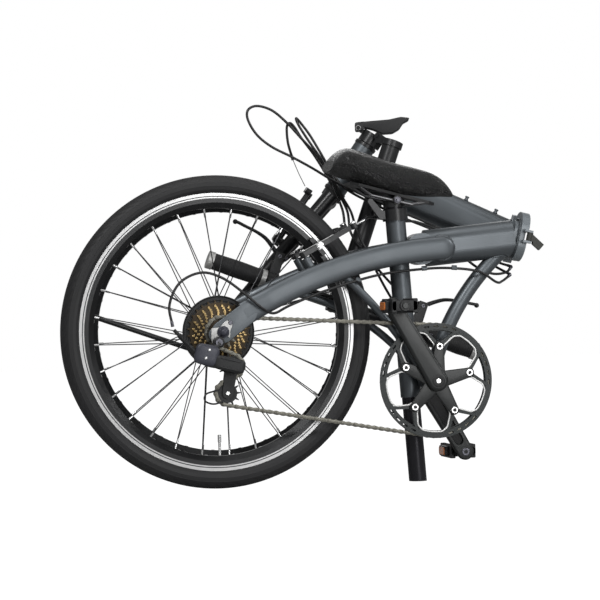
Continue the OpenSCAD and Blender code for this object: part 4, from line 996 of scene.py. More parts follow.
class BICYCLE_OT_saddle(bpy.types.Operator):
    """The padded saddle with its welt and stitches, and the bolts of its clamp"""

    bl_idname = "bicycle.saddle"
    bl_label = "Saddle"

    def execute(self, context):
        cover = Form().add(saddle_surface(120, 120), SADDLE, ends=True)
        pad = cover.piece("saddle_cover", "seat", "hide", "leather", 60.0, ["saddle_cushion"])
        self.stitches()
        self.clamp_bolts()
        return {"FINISHED"}

    def stitches(self):
        """Short threads, evenly apart, along the welt on each side."""
        grid = saddle_surface(400, 360)
        form = Form()
        for row in WELT_ROWS:
            line = grid[STITCHED, row]
            for at in np.arange(2.0, run_along(line)[-1] - 4, STITCH_STEP):
                path = points_at(line, at + np.linspace(0, STITCH_LEN, 5))
                path[:, 1] += np.sign(path[:, 1]) * np.array([-0.2, 0.25, 0.35, 0.25, -0.2])
                form.add(tube(path, 0.38, 6), SADDLE, ends=True)
        form.piece("saddle_stitches", "seat", "plastic", "leather", 80.0)

    def clamp_bolts(self):
        """Hexagon nuts on both ends of the saddle clamp's cross bar."""
        nut = [
            (0, 0), (4.2, 0), (6.3, 0.4), (6.3, 4.6), (5.4, 5.2), (3.2, 5.2), (3.2, 8.0), (2.6, 8.8),
            (0, 8.8),
        ]
        form = Form()
        at = SET_DOWN @ move(SEAT_X - CLAMP_Z * math.tan(POST_LEAN), 0, CLAMP_Z)
        for side in (-1, 1):
            form.add(along_z(nut, 36, (2, 3)), at @ move(0, side * 29.1, 0) @ turn(-90 * side, "X"))
        form.piece("saddle_clamp_nuts", "seat", "dark", "dark_steel", 30.0)


# Wheels

TREAD_TURNS = 90


def tread_relief(around, across):
    """Cut depth from 0 to 1 over the tyre: two thin lines round the crown, slanted cuts on the shoulders,
    small cross sipes between them and raised lines on the side walls."""
    side = np.abs(np.degrees(across))
    turns = around * TREAD_TURNS / (2 * math.pi)
    line = hump(side, 7.5, 1.5) + hump(side, 27.0, 1.6)
    slant = (turns + 0.030 * side) % 1.0
    cut = np.clip(1 - np.abs(slant - 0.5) / 0.17, 0, 1) ** 0.6
    shoulder = cut * ramp(side - 27, 2) * ramp(62 - side, 3)
    half = (turns + 0.5 - 0.018 * side) % 1.0
    sipe = np.clip(1 - np.abs(half - 0.5) / 0.1, 0, 1) * ramp(side - 9, 2) * ramp(25 - side, 2)
    wall = -0.45 * (hump(side, 72, 1.3) + hump(side, 92, 1.2) + hump(side, 112, 2))
    return np.clip(np.maximum(np.maximum(line, shoulder), 0.6 * sipe), 0, 1) + wall


def tyre_surface(depth):
    """The outer skin by two angles, round the wheel and round the section, joined to an inner skin."""
    columns = TREAD_TURNS * 8
    turn_angle = round_angles(columns)
    seat = RIM_R + 0.1 - (WHEEL_R - TYRE_R)
    open_at = math.acos(seat / TYRE_R)
    inner_at = math.acos(seat / (TYRE_R - TYRE_WALL))
    rows = np.linspace(-open_at, open_at, 75)
    back = np.linspace(inner_at, -inner_at, 15)
    across = np.concatenate([rows, back])
    section = np.concatenate([np.full(len(rows), TYRE_R), np.full(len(back), TYRE_R - TYRE_WALL)])
    relief = tread_relief(turn_angle[:, None], rows[None])
    radius = np.repeat(section[None], columns, 0)
    radius[:, : len(rows)] -= depth * relief
    out = WHEEL_R - TYRE_R + radius * np.cos(across)
    y = radius * np.sin(across)
    return np.stack([out * np.cos(turn_angle)[:, None], y, out * np.sin(turn_angle)[:, None]], -1)


class BICYCLE_OT_wheels(bpy.types.Operator):
    """Tyres with their tread, the spoke guard, the axle nuts and the rims' eyelets"""

    bl_idname = "bicycle.wheels"
    bl_label = "Wheels"

    def execute(self, context):
        skin = tyre_surface(sizes().tread / MM)
        for name, at in WHEELS:
            form = Form().add(skin, at, wrap_u=True)
            form.piece(f"{name}_tyre_tread", f"{name}_wheel", "tyre", "tyre", 30.0, [f"{name}_tyre"])
        self.guard()
        self.nuts()
        self.eyelets()
        return {"FINISHED"}

    def guard(self):
        """The disc behind the sprockets: one turned profile with two grooves and a rolled edge."""
        face = [
            (17.4, -19.8), (17.4, -21.4), (44, -21.4), (45, -22.0), (47, -22.0), (48, -21.4), (58, -20.9),
            (59, -21.5), (60.5, -21.5), (61.5, -20.8), (64.6, -20.7), (65.4, -21.9), (66.6, -22.3),
            (67.7, -21.6), (68, -20.4), (67.2, -19.4), (65, -19.2), (58, -19.3), (17.4, -19.8),
        ]
        Form().add(along_y(face, 144), HUB).piece(
            "spoke_guard_disc", "rear_wheel", "plastic", "plastic", 30.0, ["spoke_guard"]
        )

    def nuts(self):
        """Dome nuts and washers on the rear axle, hexagon below and ball-shaped above, and plain nuts in
        front."""
        dome = [(0, 0), (11.5, 0), (11.5, 1.4), (8.6, 1.5), (8.6, 7.5), (7.9, 8.4)]
        dome += [(7.7 * math.cos(t), 8.4 + 6.2 * math.sin(t)) for t in np.linspace(0, math.pi / 2, 9)]
        plain = [(0, 0), (11, 0), (11, 1.4), (7.8, 1.5), (7.8, 8.6), (6.8, 9.4), (0, 9.4)]
        form = Form()
        form.add(along_z(dome, 48, (3, 4)), HUB @ move(0, -76.4, 0) @ turn(90, "X"))
        form.add(along_z(dome, 48, (3, 4)), HUB @ move(0, 73.1, 0) @ turn(-90, "X"))
        form.piece("rear_axle_nuts", "rear_frame", "knuckle", "dark_steel", 28.0, ["rear_axle"])
        axle = [
            (0, -84), (5, -84), (5, -58), (9, -58), (9, -57.3), (5, -57.3), (5, 42.3), (9, 42.3), (9, 66),
            (5, 66), (5, 84), (0, 84),
        ]
        Form().add(along_y(axle, 36), HUB).piece("rear_axle_rod", "rear_frame", "dark", "dark_steel", 30.0)
        form = Form()
        for side in (-1, 1):
            form.add(along_z(plain, 48, (3, 4)), FRONT_HUB @ move(0, side * 56.2, 0) @ turn(-90 * side, "X"))
        form.piece("front_axle_nuts", "fork", "bright", "silver", 28.0)

    def eyelets(self):
        """Eyelets in the rim's inner wall: small flared rings, one for each spoke."""
        ring = [(2.1, -0.6), (3.3, -0.3), (3.5, 0.2), (3.0, 0.7), (2.2, 0.6), (2.1, -0.6)]
        for name, at in WHEELS:
            form = Form()
            for k in range(SPOKES):
                around = at @ turn(-360 * (k + 0.5) / SPOKES, "Y")
                form.add(along_z(ring, 14), around @ move(RIM_R - RIM_WALL, 0, 0) @ turn(-90, "Y"))
            form.piece(f"{name}_eyelets", f"{name}_wheel", "satin", "silver", 50.0)


# Bar

COLLAR = 9.5
LEVER_LINE = [(10, -7), (22, -16), (38, -25.5), (58, -31), (80, -34), (97, -36.5), (103, -35.6)]


class BICYCLE_OT_bar(bpy.types.Operator):
    """Ribbed grips with their collars, the brake levers, and the bolts of the bar clamp and levers"""

    bl_idname = "bicycle.bar"
    bl_label = "Bar"

    def execute(self, context):
        pitch = sizes().rib / MM
        rubber, collars = Form(), Form()
        for side, length in ((1, 116.0), (-1, 70.0)):
            at = BAR @ move(0, side * (BAR_HALF - length), 0)
            at = at if side > 0 else at @ turn(180, "Z")
            ribbed = length - 2 * COLLAR
            y = np.linspace(COLLAR, length - COLLAR, int(ribbed * 2.5))
            swell = 16.2 + 0.9 * np.sin(math.pi * (y - COLLAR) / ribbed) ** 2
            rib = 0.45 * np.abs(np.sin(math.pi * y / pitch)) ** 0.6
            body = np.column_stack([swell - 0.45 + rib, y])
            inner = np.array([[12.9, length - COLLAR], [12.9, COLLAR]])
            rubber.add(along_y(np.vstack([body, inner, body[:1]]), 56), at)
            tail = [(13.0, 0.0), (17.0, 0.0), (17.5, 0.6), (17.5, 9.0), (16.9, 9.6), (13.0, 9.6), (13.0, 0.0)]
            collars.add(along_y(tail, 48), at)
            cap = [
                (13.0, -9.6), (16.9, -9.6), (17.5, -9.0), (17.5, -6.4), (17.1, -6.0), (17.1, -4.6),
                (17.5, -4.2), (17.5, 1.4), (16.6, 2.6), (11.5, 3.0), (10.8, 2.4), (0, 2.2),
            ]
            collars.add(along_y(cap, 48), at @ move(0, length, 0))
            screw = socket_head(2.6, 1.2, 2.2, 1.6, 1.3, 1.2, 0.7, 24)
            collars.add(screw, at @ move(0, length - 2, 0) @ turn(60, "Y") @ move(0, 0, 16.7))
        grips = rubber.piece("grip_rubber", "handlepost", "rubber", "rubber", 50.0, ["grips"])
        collars.piece("grip_collars", "handlepost", "alloy", "silver", 30.0)
        self.levers()
        self.bolts()
        return {"FINISHED"}

    def levers(self):
        """Brake levers: a flat bar swept from the pivot's boss, round the knee, to a ball end."""
        boss = [(3.1, -5.4), (7.2, -5.4), (8, -4.6), (8, 4.6), (7.2, 5.4), (3.1, 5.4), (3.1, -5.4)]
        for side, name in ((1, "brake_lever_left"), (-1, "brake_lever_right")):
            at = BAR @ move(0, side * LEVER_AT, LEVER_DROP)
            path = smooth_path([(0, side * y, z) for y, z in LEVER_LINE], 1.0)
            thick = np.interp(np.linspace(0, 1, len(path)), [0, 0.3, 0.6, 1], [4.4, 3.7, 3.0, 3.1])
            form = Form().add(tube(path, thick, 24, flat=1.5), at, ends=True)
            form.add(along_z(boss, 40), at @ turn(90, "Y"))
            form.add(pillow(9.6, 9.6, 9.6, 2.0), at @ move(0, side * 102, -36))
            form.piece(name + "_blade", name, "black", "black_metal", 50.0, [name])

    def bolts(self):
        """Socket bolts on the bar clamp and on the lever clamps."""
        head = socket_head(3.6, 0.7, 3.1, 1.2, 2.0, 1.9, 0.1, base=-0.6)
        form = Form()
        for y in (-7, 21):
            form.add(head, BAR @ move(0, y, 18.4))
        for side in (-1, 1):
            for x, z in ((17.4, 0), (7.8, LEVER_DROP)):
                form.add(head, BAR @ move(x, side * LEVER_AT, z) @ turn(90, "Y"))
        form.piece("bar_bolts", "handlepost", "dark", "dark_steel", 30.0)


# Drive

LINK_R = 4.1
COG_TEETH = (14, 16, 18, 20, 22, 24, 28)
COG_STEP = 4.8
COG_Y = -54.0
PULLEY_R = pitch_radius(11)
GUIDE_X, GUIDE_Z = 17.5, 230.0
TENSION_X, TENSION_Z = 8.5, 180.0
# Centre, pitch radius and Y of the ring, the first sprocket and both pulleys
CHAIN_WHEELS = np.array([
    (BRACKET_X, BRACKET_Z, RING_R, -45),
    (0, WHEEL_R, pitch_radius(COG_TEETH[0]), COG_Y),
    (GUIDE_X, GUIDE_Z, -PULLEY_R, COG_Y),
    (TENSION_X, TENSION_Z, PULLEY_R, COG_Y),
])
ARC_POINTS = 60
SHIFT_SPAN = np.array([[0.14], [0.86]])
CRANK_T = 14.0
RIGHT_IN = 58.0
LEFT_IN = 56.0
PEDAL_HALF = 46.0
PEDAL_GAP = 1.5
CHANGER = SET_DOWN @ move(8, -89, 234) @ turn(14, "Y")
HANGER_EDGE = [
    (-22, 8), (-6, 9), (0.5, 16.5), (6, 21.5), (12, 22), (17, 18), (18, 11.5), (13.5, 3), (13, -12),
    (5, -6.5), (0, -12), (1, -20), (-4, -28), (-14, -29.5), (-20.5, -22), (-23, -12),
]


def chain_path():
    """The chain's closed line: an arc round each wheel, then the tangent to the next. The heading of a run is
    atan2(dz, dx) + asin((r_p - r_q) / d), and a wheel that turns the other way has a negative radius. A run
    goes from one wheel's Y to the next one's within SHIFT_SPAN of its length."""
    at, r, y = CHAIN_WHEELS[:, :2], CHAIN_WHEELS[:, 2], CHAIN_WHEELS[:, 3]
    gap = np.roll(at, -1, 0) - at
    heading = np.arctan2(gap[:, 1], gap[:, 0]) + np.arcsin((r - np.roll(r, -1)) / np.linalg.norm(gap, axis=1))
    leave = heading - math.pi / 2
    arrive = np.roll(leave, 1)
    wrap = np.where(r > 0, (leave - arrive) % (2 * math.pi), -((arrive - leave) % (2 * math.pi)))
    parts = []
    for i in range(len(r)):
        j = (i + 1) % len(r)
        a = arrive[i] + wrap[i] * np.linspace(0, 1, ARC_POINTS)
        x, z = at[i, 0] + r[i] * np.cos(a), at[i, 1] + r[i] * np.sin(a)
        parts.append(np.stack([x, np.full(ARC_POINTS, y[i]), z], -1))
        start = parts[-1][-1][[0, 2]]
        end = at[j] + r[j] * np.array([math.cos(leave[i]), math.sin(leave[i])])
        bend = start + SHIFT_SPAN * (end - start)
        parts.append(np.stack([bend[:, 0], [y[i], y[j]], bend[:, 1]], -1))
    return np.vstack(parts)


def chain_joints():
    """The chain's pins: an even number of points, one pitch apart along its line."""
    path = chain_path()
    closed = np.vstack([path, path[:1]])
    long = run_along(closed)[-1]
    return points_at(closed, np.linspace(0, long, 2 * round(long / CHAIN_PITCH / 2), endpoint=False))


def toothed(teeth, radius, first):
    """A sprocket's outline: each tooth rises from the root, 3.9 mm in, to a narrow tip, 3.4 mm out."""
    share = np.array([-0.36, -0.22, -0.11, -0.06, 0.06, 0.11, 0.22, 0.36])
    rise = np.array([-3.9, -2.6, 2.4, 3.4, 3.4, 2.4, -2.6, -3.9])
    a = first + 2 * math.pi * (np.arange(teeth)[:, None] + share).ravel() / teeth
    r = radius + np.tile(rise, teeth)
    return np.stack([r * np.cos(a), r * np.sin(a)], -1)


class BICYCLE_OT_drive(bpy.types.Operator):
    """Chain, cranks, chainring edges and bolts, the gear changer with its hanger, and the pedals"""

    bl_idname = "bicycle.drive"
    bl_label = "Drive"

    def execute(self, context):
        self.chain()
        self.sprockets()
        self.cranks()
        self.ring_edges()
        self.ring_bolts()
        self.hanger()
        self.changer()
        self.pedals()
        return {"FINISHED"}

    def chain(self):
        """Waisted plates in pairs, near and far by turns, with a roller and a pin at every joint of the
        line."""
        joints = chain_joints()
        x = (CHAIN_PITCH / 2 + LINK_R) * np.cos(np.linspace(0, math.pi, 25))
        waist = LINK_R - 1.15 * np.cos(math.pi * np.clip(x / CHAIN_PITCH, -0.5, 0.5)) ** 2
        over = np.sqrt(np.maximum(LINK_R**2 - (np.abs(x) - CHAIN_PITCH / 2) ** 2, 0))
        upper = np.stack([x, np.where(np.abs(x) < CHAIN_PITCH / 2, waist, over)], -1)
        plate = slab(np.vstack([upper, -upper[1:-1]]), -0.45, 0.45, 0.28, 3)
        pin = [(0, -3.75), (1.3, -3.7), (1.75, -3.3), (1.75, 3.3), (1.3, 3.7), (0, 3.75)]
        roller = [(1.7, -1.25), (3.4, -1.25), (3.7, -0.9), (3.7, 0.9), (3.4, 1.25), (1.7, 1.25)]
        plates, pins = Form(), Form()
        for k, (near, far) in enumerate(zip(joints, np.roll(joints, -1, 0))):
            step = far - near
            slope = math.degrees(math.atan2(step[2], step[0]))
            lie = SET_DOWN @ Matrix.Translation((near + far) / 2) @ turn(-slope, "Y")
            apart = 2.8 if k % 2 else 1.75
            for side in (-1, 1):
                plates.add(plate, lie @ move(0, side * apart, 0), ends="flat")
            pins.add(along_y(pin, 14), SET_DOWN @ Matrix.Translation(near))
            pins.add(along_y(roller, 16), SET_DOWN @ Matrix.Translation(near), wrap_u=True)
        plates.piece("chain_plates", "rear_frame", "chain", "chain", 40.0, ["chain"])
        pins.piece("chain_pins", "rear_frame", "chain", "silver", 40.0)

    def sprockets(self):
        """Seven toothed rings, each with a dark web before its root, dark partly as oiled steel and partly as
        painted shade of the gaps between the rings. The largest ring takes the same dark finish. The first
        has its gaps at the chain's pins."""
        joints = chain_joints()
        pin = joints[np.argmin(joints[:, 0])]
        phase = math.atan2(pin[2] - WHEEL_R, pin[0]) + math.pi / COG_TEETH[0]
        rings = {"cogs": Form(), "chain": Form(), "oil": Form()}
        for k, teeth in enumerate(COG_TEETH):
            radius = pitch_radius(teeth)
            at = HUB @ move(0, COG_Y + COG_STEP * k, 0)
            finish = "chain" if k == 0 else "oil" if k == len(COG_TEETH) - 1 else "cogs"
            first = 0.13 * k if k else phase
            rings[finish].plate(at, toothed(teeth, radius, first), -1, 1, 0.4, 3)
            # painted shade: each web is dark, partly as oiled steel and partly as the shade between the rings
            web = radius - 1.4 if k else radius - 4.2
            face = [(17.3, -0.2), (17.3, -1.3), (web - 0.6, -1.3), (web, -1.0), (web, -0.2), (17.3, -0.2)]
            rings["oil"].add(along_y(face, 72), at)
        rings["cogs"].piece("sprockets_middle", "cassette", "cogs", "cogs", 35.0, ["cassette"])
        rings["chain"].piece("sprocket_first", "cassette", "chain", "cogs", 35.0)
        rings["oil"].piece("sprocket_webs", "cassette", "oil", "cogs", 35.0)

    def cranks(self):
        """Both arms as rounded slabs: the right one with its five-legged spider, the left one with a long
        recess on its inner face, whose floor is covered by a darker sheet as painted shade."""
        tip = np.array(polar(CRANK_LEN, CRANK_TURN))
        arm = link_outline((0, 0), tip, 20, 16, 40)
        right = Form().plate(BRACKET, arm, -RIGHT_IN - CRANK_T, -RIGHT_IN, 6.9, 9)
        for angle in SPIDER:
            leg = link_outline((0, 0), polar(BOLT_R, angle), 17, 9.4, 30)
            right.plate(BRACKET, leg, -58.1, -52.6, 2.2, 5)
        spindle = [(0, -168), (5, -168), (6, -167), (6, -73.4), (8, -73.4), (8, -71), (0, -71)]
        right.add(along_y(spindle, 36), BRACKET @ move(tip[0], 0, tip[1]))
        right.piece("crank_arm_right", "crankset", "crank", "black_metal", 35.0, ["crank_right"])
        arm = link_outline((0, 0), -tip, 20, 16, 40)
        rows = [slab(arm, LEFT_IN, LEFT_IN + CRANK_T, 3.5, 6)[::-1]]
        near, far = -0.16 * tip, -0.84 * tip
        for y, spare in ((56.0, 0.9), (56.8, 0.0), (60.5, -1.0)):
            edge = link_outline(near, far, 11.2 + spare, 8.4 + spare, 40)
            rows.append(np.stack([edge[:, 0], np.full(len(edge), y), edge[:, 1]], -1)[None])
        left = Form().add(np.concatenate(rows), BRACKET, ends="flat")
        left.add(along_y([(0, -60), (8.5, -60), (8.5, 57), (0, 57)], 40), BRACKET)
        spindle = [(0, 69), (8, 69), (8, 71.3), (6, 71.3), (6, 165), (5, 166), (0, 166)]
        left.add(along_y(spindle, 36), BRACKET @ move(-tip[0], 0, -tip[1]))
        left.piece("crank_arm_left", "crankset", "crank", "black_metal", 35.0, ["crank_left"])
        # painted shade: a darker sheet lies on the floor of the recess
        floor = link_outline(near, far, 10.1, 7.3, 40)
        recess_shade = Form().plate(BRACKET, floor, 60.1, 61.0, 0.2, 2)
        recess_shade.piece("crank_recess_shade", "crankset", "rubber", "rubber", 35.0)
        eye = [(0, 57), (7.6, 57), (7.6, 55.6), (6.8, 55.1), (3.7, 55.1), (3.5, 56.6), (0, 56.6)]
        Form().add(along_y(eye, 36, (4, 5)), BRACKET @ move(-tip[0], 0, -tip[1])).piece(
            "pedal_eye", "crankset", "dark", "dark_steel", 30.0
        )

    def ring_edges(self):
        """Bare machined edges round the five windows of the ring: one line from bolt to bolt each."""
        leg = [(62.5, 8.4), (68.5, 10.6), (77, 18.6), (85, 26.6)]
        first = [(math.hypot(*p), math.degrees(math.atan2(p[1], p[0]))) for p in leg]
        first += [(93.2, 21.0), (95.9, 24.5)]
        arc = [(96.2, a) for a in np.linspace(28, 44, 5)]
        edge = first + arc + [(r, 72 - a) for r, a in first[::-1]]
        form = Form()
        for start in SPIDER:
            flat = np.array([polar(r, start + a) for r, a in edge])
            path = np.stack([flat[:, 0], np.full(len(flat), -52.35), flat[:, 1]], -1)
            form.rod(path, 2.0, 1.5, 12, BRACKET, 0.6)
        form.piece("ring_edges", "crankset", "edge", "silver", 60.0)

    def ring_bolts(self):
        """Five socket bolts through the spider, each with a dark plug in its socket as painted shade, and the
        cap and the bolt of the crank arm.
        """
        shank = [
            (0, -42.4), (6.0, -42.4), (6.4, -42.8), (6.4, -43.9), (5, -43.9), (5, -58.1), (6.4, -58.1),
            (6.4, -60.4), (5.8, -61.0), (3.7, -61.0), (3.1, -60.6), (3.0, -58.4), (0, -58.4),
        ]
        # painted shade: a dark plug fills each bolt's socket
        socket = [(0, -58.2), (3.3, -58.2), (3.3, -60.2), (0, -60.2)]
        form, socket_shade = Form(), Form()
        for angle in SPIDER:
            x, z = polar(BOLT_R, angle)
            form.add(along_y(shank, 42, (10, 11)), BRACKET @ move(x, 0, z))
            socket_shade.add(along_y(socket, 6), BRACKET @ move(x, 0, z))
        form.piece("ring_bolts", "crankset", "bright", "silver", 30.0, ["crank_bolts"])
        socket_shade.piece("ring_bolt_socket_shade", "crankset", "plastic", "plastic", 30.0)
        cap = [
            (0, -60.3), (8.4, -60.3), (8.4, -71.0), (12.0, -71.8), (12.0, -72.6), (10.8, -73.2), (7.4, -73.0),
            (6.4, -72.2), (6.3, -71.2), (0, -71.2),
        ]
        Form().add(along_y(cap, 48), BRACKET).piece("crank_cap", "crankset", "plastic", "plastic", 30.0)
        bolt = [(0, -71.0), (4.6, -71.0), (4.6, -72.6), (4.0, -73.1), (1.7, -73.1), (1.6, -72.4), (0, -72.4)]
        middle = Form().add(along_y(bolt, 36, (4, 5)), BRACKET)
        middle.piece("crank_bolt", "crankset", "bright", "silver", 30.0)

    def hanger(self):
        """The claw plate under the axle nut, cut from one rounded outline, and the cage's wire."""
        claw = Form().plate(HUB, rounded(HANGER_EDGE, 3.4, 8), -76.1, -73.1, 0.8)
        claw.piece("hanger_plate", "rear_frame", "alloy", "silver", 35.0, ["derailleur_hanger"])
        loop = [
            (-8, -59.8, 186), (-20, -60.2, 184), (-32, -60.6, 180), (-36, -60.6, 172), (-32, -60.6, 165),
            (-18, -60.4, 161), (0, -59.8, 165),
        ]
        Form().rod(loop, 1.0, 1.7, 12).piece("cage_guide", "derailleur_cage", "plastic", "plastic", 50.0)

    def changer(self):
        """The gear changer: a housing of pillow-shaped blocks and turned pivots, a link to the hanger, a
        knurled adjuster, and its screws and bolts."""
        body = Form()
        hanging = SET_DOWN @ move(-10, 0, 275)
        guide = SET_DOWN @ move(GUIDE_X, 0, GUIDE_Z)
        body.add(along_y([(0, -88.4), (9.4, -88.4), (10.6, -87.4), (10.6, -76.4), (0, -76.4)], 40), hanging)
        link = [(-10, -84, 275), (-18, -85, 268), (-26, -87, 260), (-32, -88, 254)]
        body.rod(link, 2.0, 9.0, 20, flat=0.55)
        body.add(pillow(58, 21, 27, 5.0), CHANGER)
        body.add(along_y([(0, -90), (8.2, -90), (9, -89), (9, -61.4), (0, -61.4)], 32), guide)
        body.add(along_y([(0, -62), (3, -62), (3, -48), (0, -48)], 24), guide)
        for lift in (8, -8):
            body.add(pillow(40, 3, 3.2, 3.0), CHANGER @ move(0, -10.4, lift))
        body.piece("changer_housing", "rear_frame", "plastic", "plastic", 40.0, ["derailleur_body"])
        knuckle = Form().add(pillow(45, 16, 39, 4.0), SET_DOWN @ move(-34, -90, 253) @ turn(14, "Y"))
        knuckle.piece("changer_knuckle", "rear_frame", "knuckle", "plastic", 50.0)
        way = unit(np.array([45.0, 0, -48.0]))
        s = np.linspace(0, 62, 63)
        knurl = np.where((s > 12) & (s < 40), 1.5 + 0.35 * np.cos(s * math.pi), 0)
        r = 3.4 + knurl + np.where(s > 44, 0.8, 0)
        adjuster = Form().add(tube(np.array([-93, -86, 300]) + s[:, None] * way, r, 28), SET_DOWN, ends=True)
        adjuster.piece("changer_adjuster", "rear_frame", "plastic", "plastic", 50.0)
        pan = [(0, 0), (3.1, 0), (3.1, 0.9), (2.5, 1.7), (1.2, 2.0), (0.9, 1.2), (0, 1.2)]
        screws, heads, cage = Form(), Form(), Form()
        for form, head, place in (
            (screws, along_z(pan, 24), (-30, -97.6, 262)),
            (screws, along_z(pan, 24), (-37, -97.6, 247)),
            (heads, socket_head(7.2, 2.0, 6.4, 2.8, 3.4, 3.2, 0.8), (-10, -88.3, 275)),
            (heads, socket_head(4.2, 1.2, 3.4, 2.0, 1.8, 1.7, 0.8), (14, -76.0, 310.5)),
            (cage, socket_head(4.0, 1.4, 3.2, 2.2, 1.9, 1.8, 0.9, 32), (TENSION_X, -60.1, TENSION_Z)),
        ):
            form.add(head, SET_DOWN @ move(*place) @ turn(90, "X"))
        heads.piece("hanger_bolts", "rear_frame", "dark", "dark_steel", 35.0)
        screws.piece("changer_screws", "rear_frame", "bright", "silver", 35.0)
        cage.piece("cage_bolt", "derailleur_cage", "bright", "silver", 35.0)

    def pedals(self):
        """Each pedal: a stepped core, two rounded end plates, two cage plates with toothed edges, and a
        lens."""
        row = np.linspace(-42, 42, 29)
        teeth = np.where(np.arange(len(row)) % 2 == 0, 11.6, 13.4)
        upper = np.stack([row[::-1], teeth[::-1]], -1)
        cage = slab(np.vstack([upper, -upper]), -4.6, 4.6, 1.0, 4)
        plate = slab(rounded([(-25, -10), (25, -10), (25, 10), (-25, 10)], 7.0, 8), -5, 5, 1.6, 5)
        core = [
            (6.1, -46), (9.2, -46), (10, -45), (10, -40), (11, -38), (11, -22), (9, -19), (9, 19),
            (11, 22), (11, 38), (10, 40), (10, 45), (9.2, 46), (6.1, 46), (6.1, -46),
        ]
        for side, body, arm, inner in ((-1, "pedal_right", 0, RIGHT_IN), (1, "pedal_left", 180, LEFT_IN)):
            x, z = polar(CRANK_LEN, CRANK_TURN + arm)
            at = BRACKET @ move(x, side * (inner + CRANK_T + PEDAL_GAP + PEDAL_HALF), z)
            form = Form().add(along_y(core, 48), at)
            for edge in (-1, 1):
                form.add(plate, at @ move(0, edge * 37, 0), ends="flat")
                form.add(cage, at @ move(edge * 20, 0, 0) @ turn(90, "Z"), ends="flat")
            form.add(pillow(9, 47, 20, 8.0), at @ move(-28.2, 0, 0))
            form.piece(f"{body}_cage", body, "plastic", "plastic", 35.0, [body])
            glass = Form().add(pillow(4.4, 41, 15, 7.0), at @ move(-31.8, 0, 0))
            glass.piece(f"{body}_lens", body, "lens", "plastic", 50.0)


# Frame details


def slot_outline(high, wide, count):
    """Points round a tall slot with half-round ends: (side, up) pairs, evenly spaced by angle on each end."""
    r = wide / 2
    half = np.linspace(0, math.pi, count)
    top = np.stack([r * np.cos(half), high / 2 - r + r * np.sin(half)], -1)
    rise = np.linspace(-(high / 2 - r), high / 2 - r, count // 4 + 2)[1:-1]
    left = np.stack([np.full(len(rise), -r), rise[::-1]], -1)
    return np.vstack([top, left, -top, -left])


def bead_radius(path, half, closed=True):
    """A weld's ripple: the half width swells once in every 3.4 mm along the path."""
    steps = np.linalg.norm(np.diff(path, axis=0, append=path[:1] if closed else path[-1:]), axis=1)
    run = np.concatenate([[0], np.cumsum(steps)[:-1]])
    return half * (0.86 + 0.14 * np.abs(np.sin(math.pi * run / 3.4)))


def resampled(path, step, closed=True):
    """The same line with points a fixed distance apart."""
    if closed:
        path = np.vstack([path, path[:1]])
    long = run_along(path)[-1]
    return points_at(path, np.linspace(0, long, int(long / step) + 1, endpoint=not closed))


STAY_ENDS = np.array([(42.0, 68, 326), (252.0, 50, 413), (432.0, 34.5, 441)])
STAY_HIGH = 22.0
STAY_DEEP = 10.4
STAY_STEPS = 90
DROPOUT_IN = 66
DROPOUT_OUT = 73
KICK_X, KICK_Z = -20, 255
STUD_X, STUD_Y, STUD_Z = 164.0, 44.0, 429.0
STUD_LEAN = 28.0
STUD_TILT = math.radians(STUD_LEAN)
STUD_UP = np.array([-math.sin(STUD_TILT), 0, math.cos(STUD_TILT)])


def stay_surface(side):
    """A stay swept through three points P = sum L_i(t) P_i, with a section |z / h|^p + |y / d|^p = 1,
    thinned to the dropout behind and closed by a half-round nose in front."""
    ends = STAY_ENDS * (1, side, 1)
    chord = np.linalg.norm(np.diff(ends, axis=0), axis=1)
    m = chord[0] / chord.sum()
    t = np.linspace(0, 1, STAY_STEPS)[:, None]
    share = ((t - m) * (t - 1) / m, t * (t - 1) / (m * (m - 1)), t * (t - m) / (1 - m))
    path = sum(weight * end for weight, end in zip(share, ends))
    nose = STAY_HIGH * np.sin(np.linspace(0, math.pi / 2, 14))[1:]
    path = np.vstack([path, path[-1] + nose[:, None] * unit(path[-1] - path[-2])])
    fall = np.concatenate([np.zeros(STAY_STEPS), nose / STAY_HIGH])
    high = STAY_HIGH * np.sqrt(np.maximum(1 - fall**2, 0.0004))
    deep = STAY_DEEP * (1 - fall**2 * 0.96) ** 0.35
    deep *= np.interp(np.arange(len(path)), [0, 3, 12], [0.5, 0.6, 1.0])
    heading = unit(np.gradient(path, axis=0))
    aside = unit(ACROSS - (heading @ ACROSS)[:, None] * heading)
    up = np.cross(heading, aside)
    a = round_angles(56)
    rise, out = (signed_power(f, 0.74)[:, None] for f in (np.cos(a), np.sin(a)))
    tall = high[:, None, None] * rise * up[:, None]
    return path[:, None] + tall + deep[:, None, None] * out * aside[:, None]


LATCH_EDGE = [
    (0, 8), (11.5, 8), (12, 30), (12.5, 62), (16, 84), (13, 101), (8, 99), (3, 88), (-8, 80), (-15, 66),
    (-15, 46), (-6, 30), (-2, 18),
]
LATCH_LUG = [(-6, -6), (11, -6), (12, 14), (1, 14), (-6, 7)]
PAD_DROP = 13.0
PAD_MID = 4.0
ARM_TOP = 110.0


def mirrored(flip):
    """A mirror across the middle plane, or nothing."""
    return Matrix.Scale(-1 if flip else 1, 4, (0, 1, 0))


def pad_along(along, over):
    """How far a brake pad sits along its arm, with the hub that far along and over as seen from the pivot."""
    return along + math.sqrt((RIM_R - PAD_DROP) ** 2 - (PAD_MID - over) ** 2)


def rear_stud(side):
    """The frame of a rear brake arm: X up the arm, Z out of its face."""
    return SET_DOWN @ move(STUD_X, side * STUD_Y, STUD_Z) @ turn(-STUD_LEAN, "Y") @ mirrored(side < 0)


def front_stud(side):
    """The same of a front brake arm."""
    return STEERING @ move(34, side * STUD_Y, -138) @ turn(90, "Y") @ turn(180, "Z") @ mirrored(side > 0)


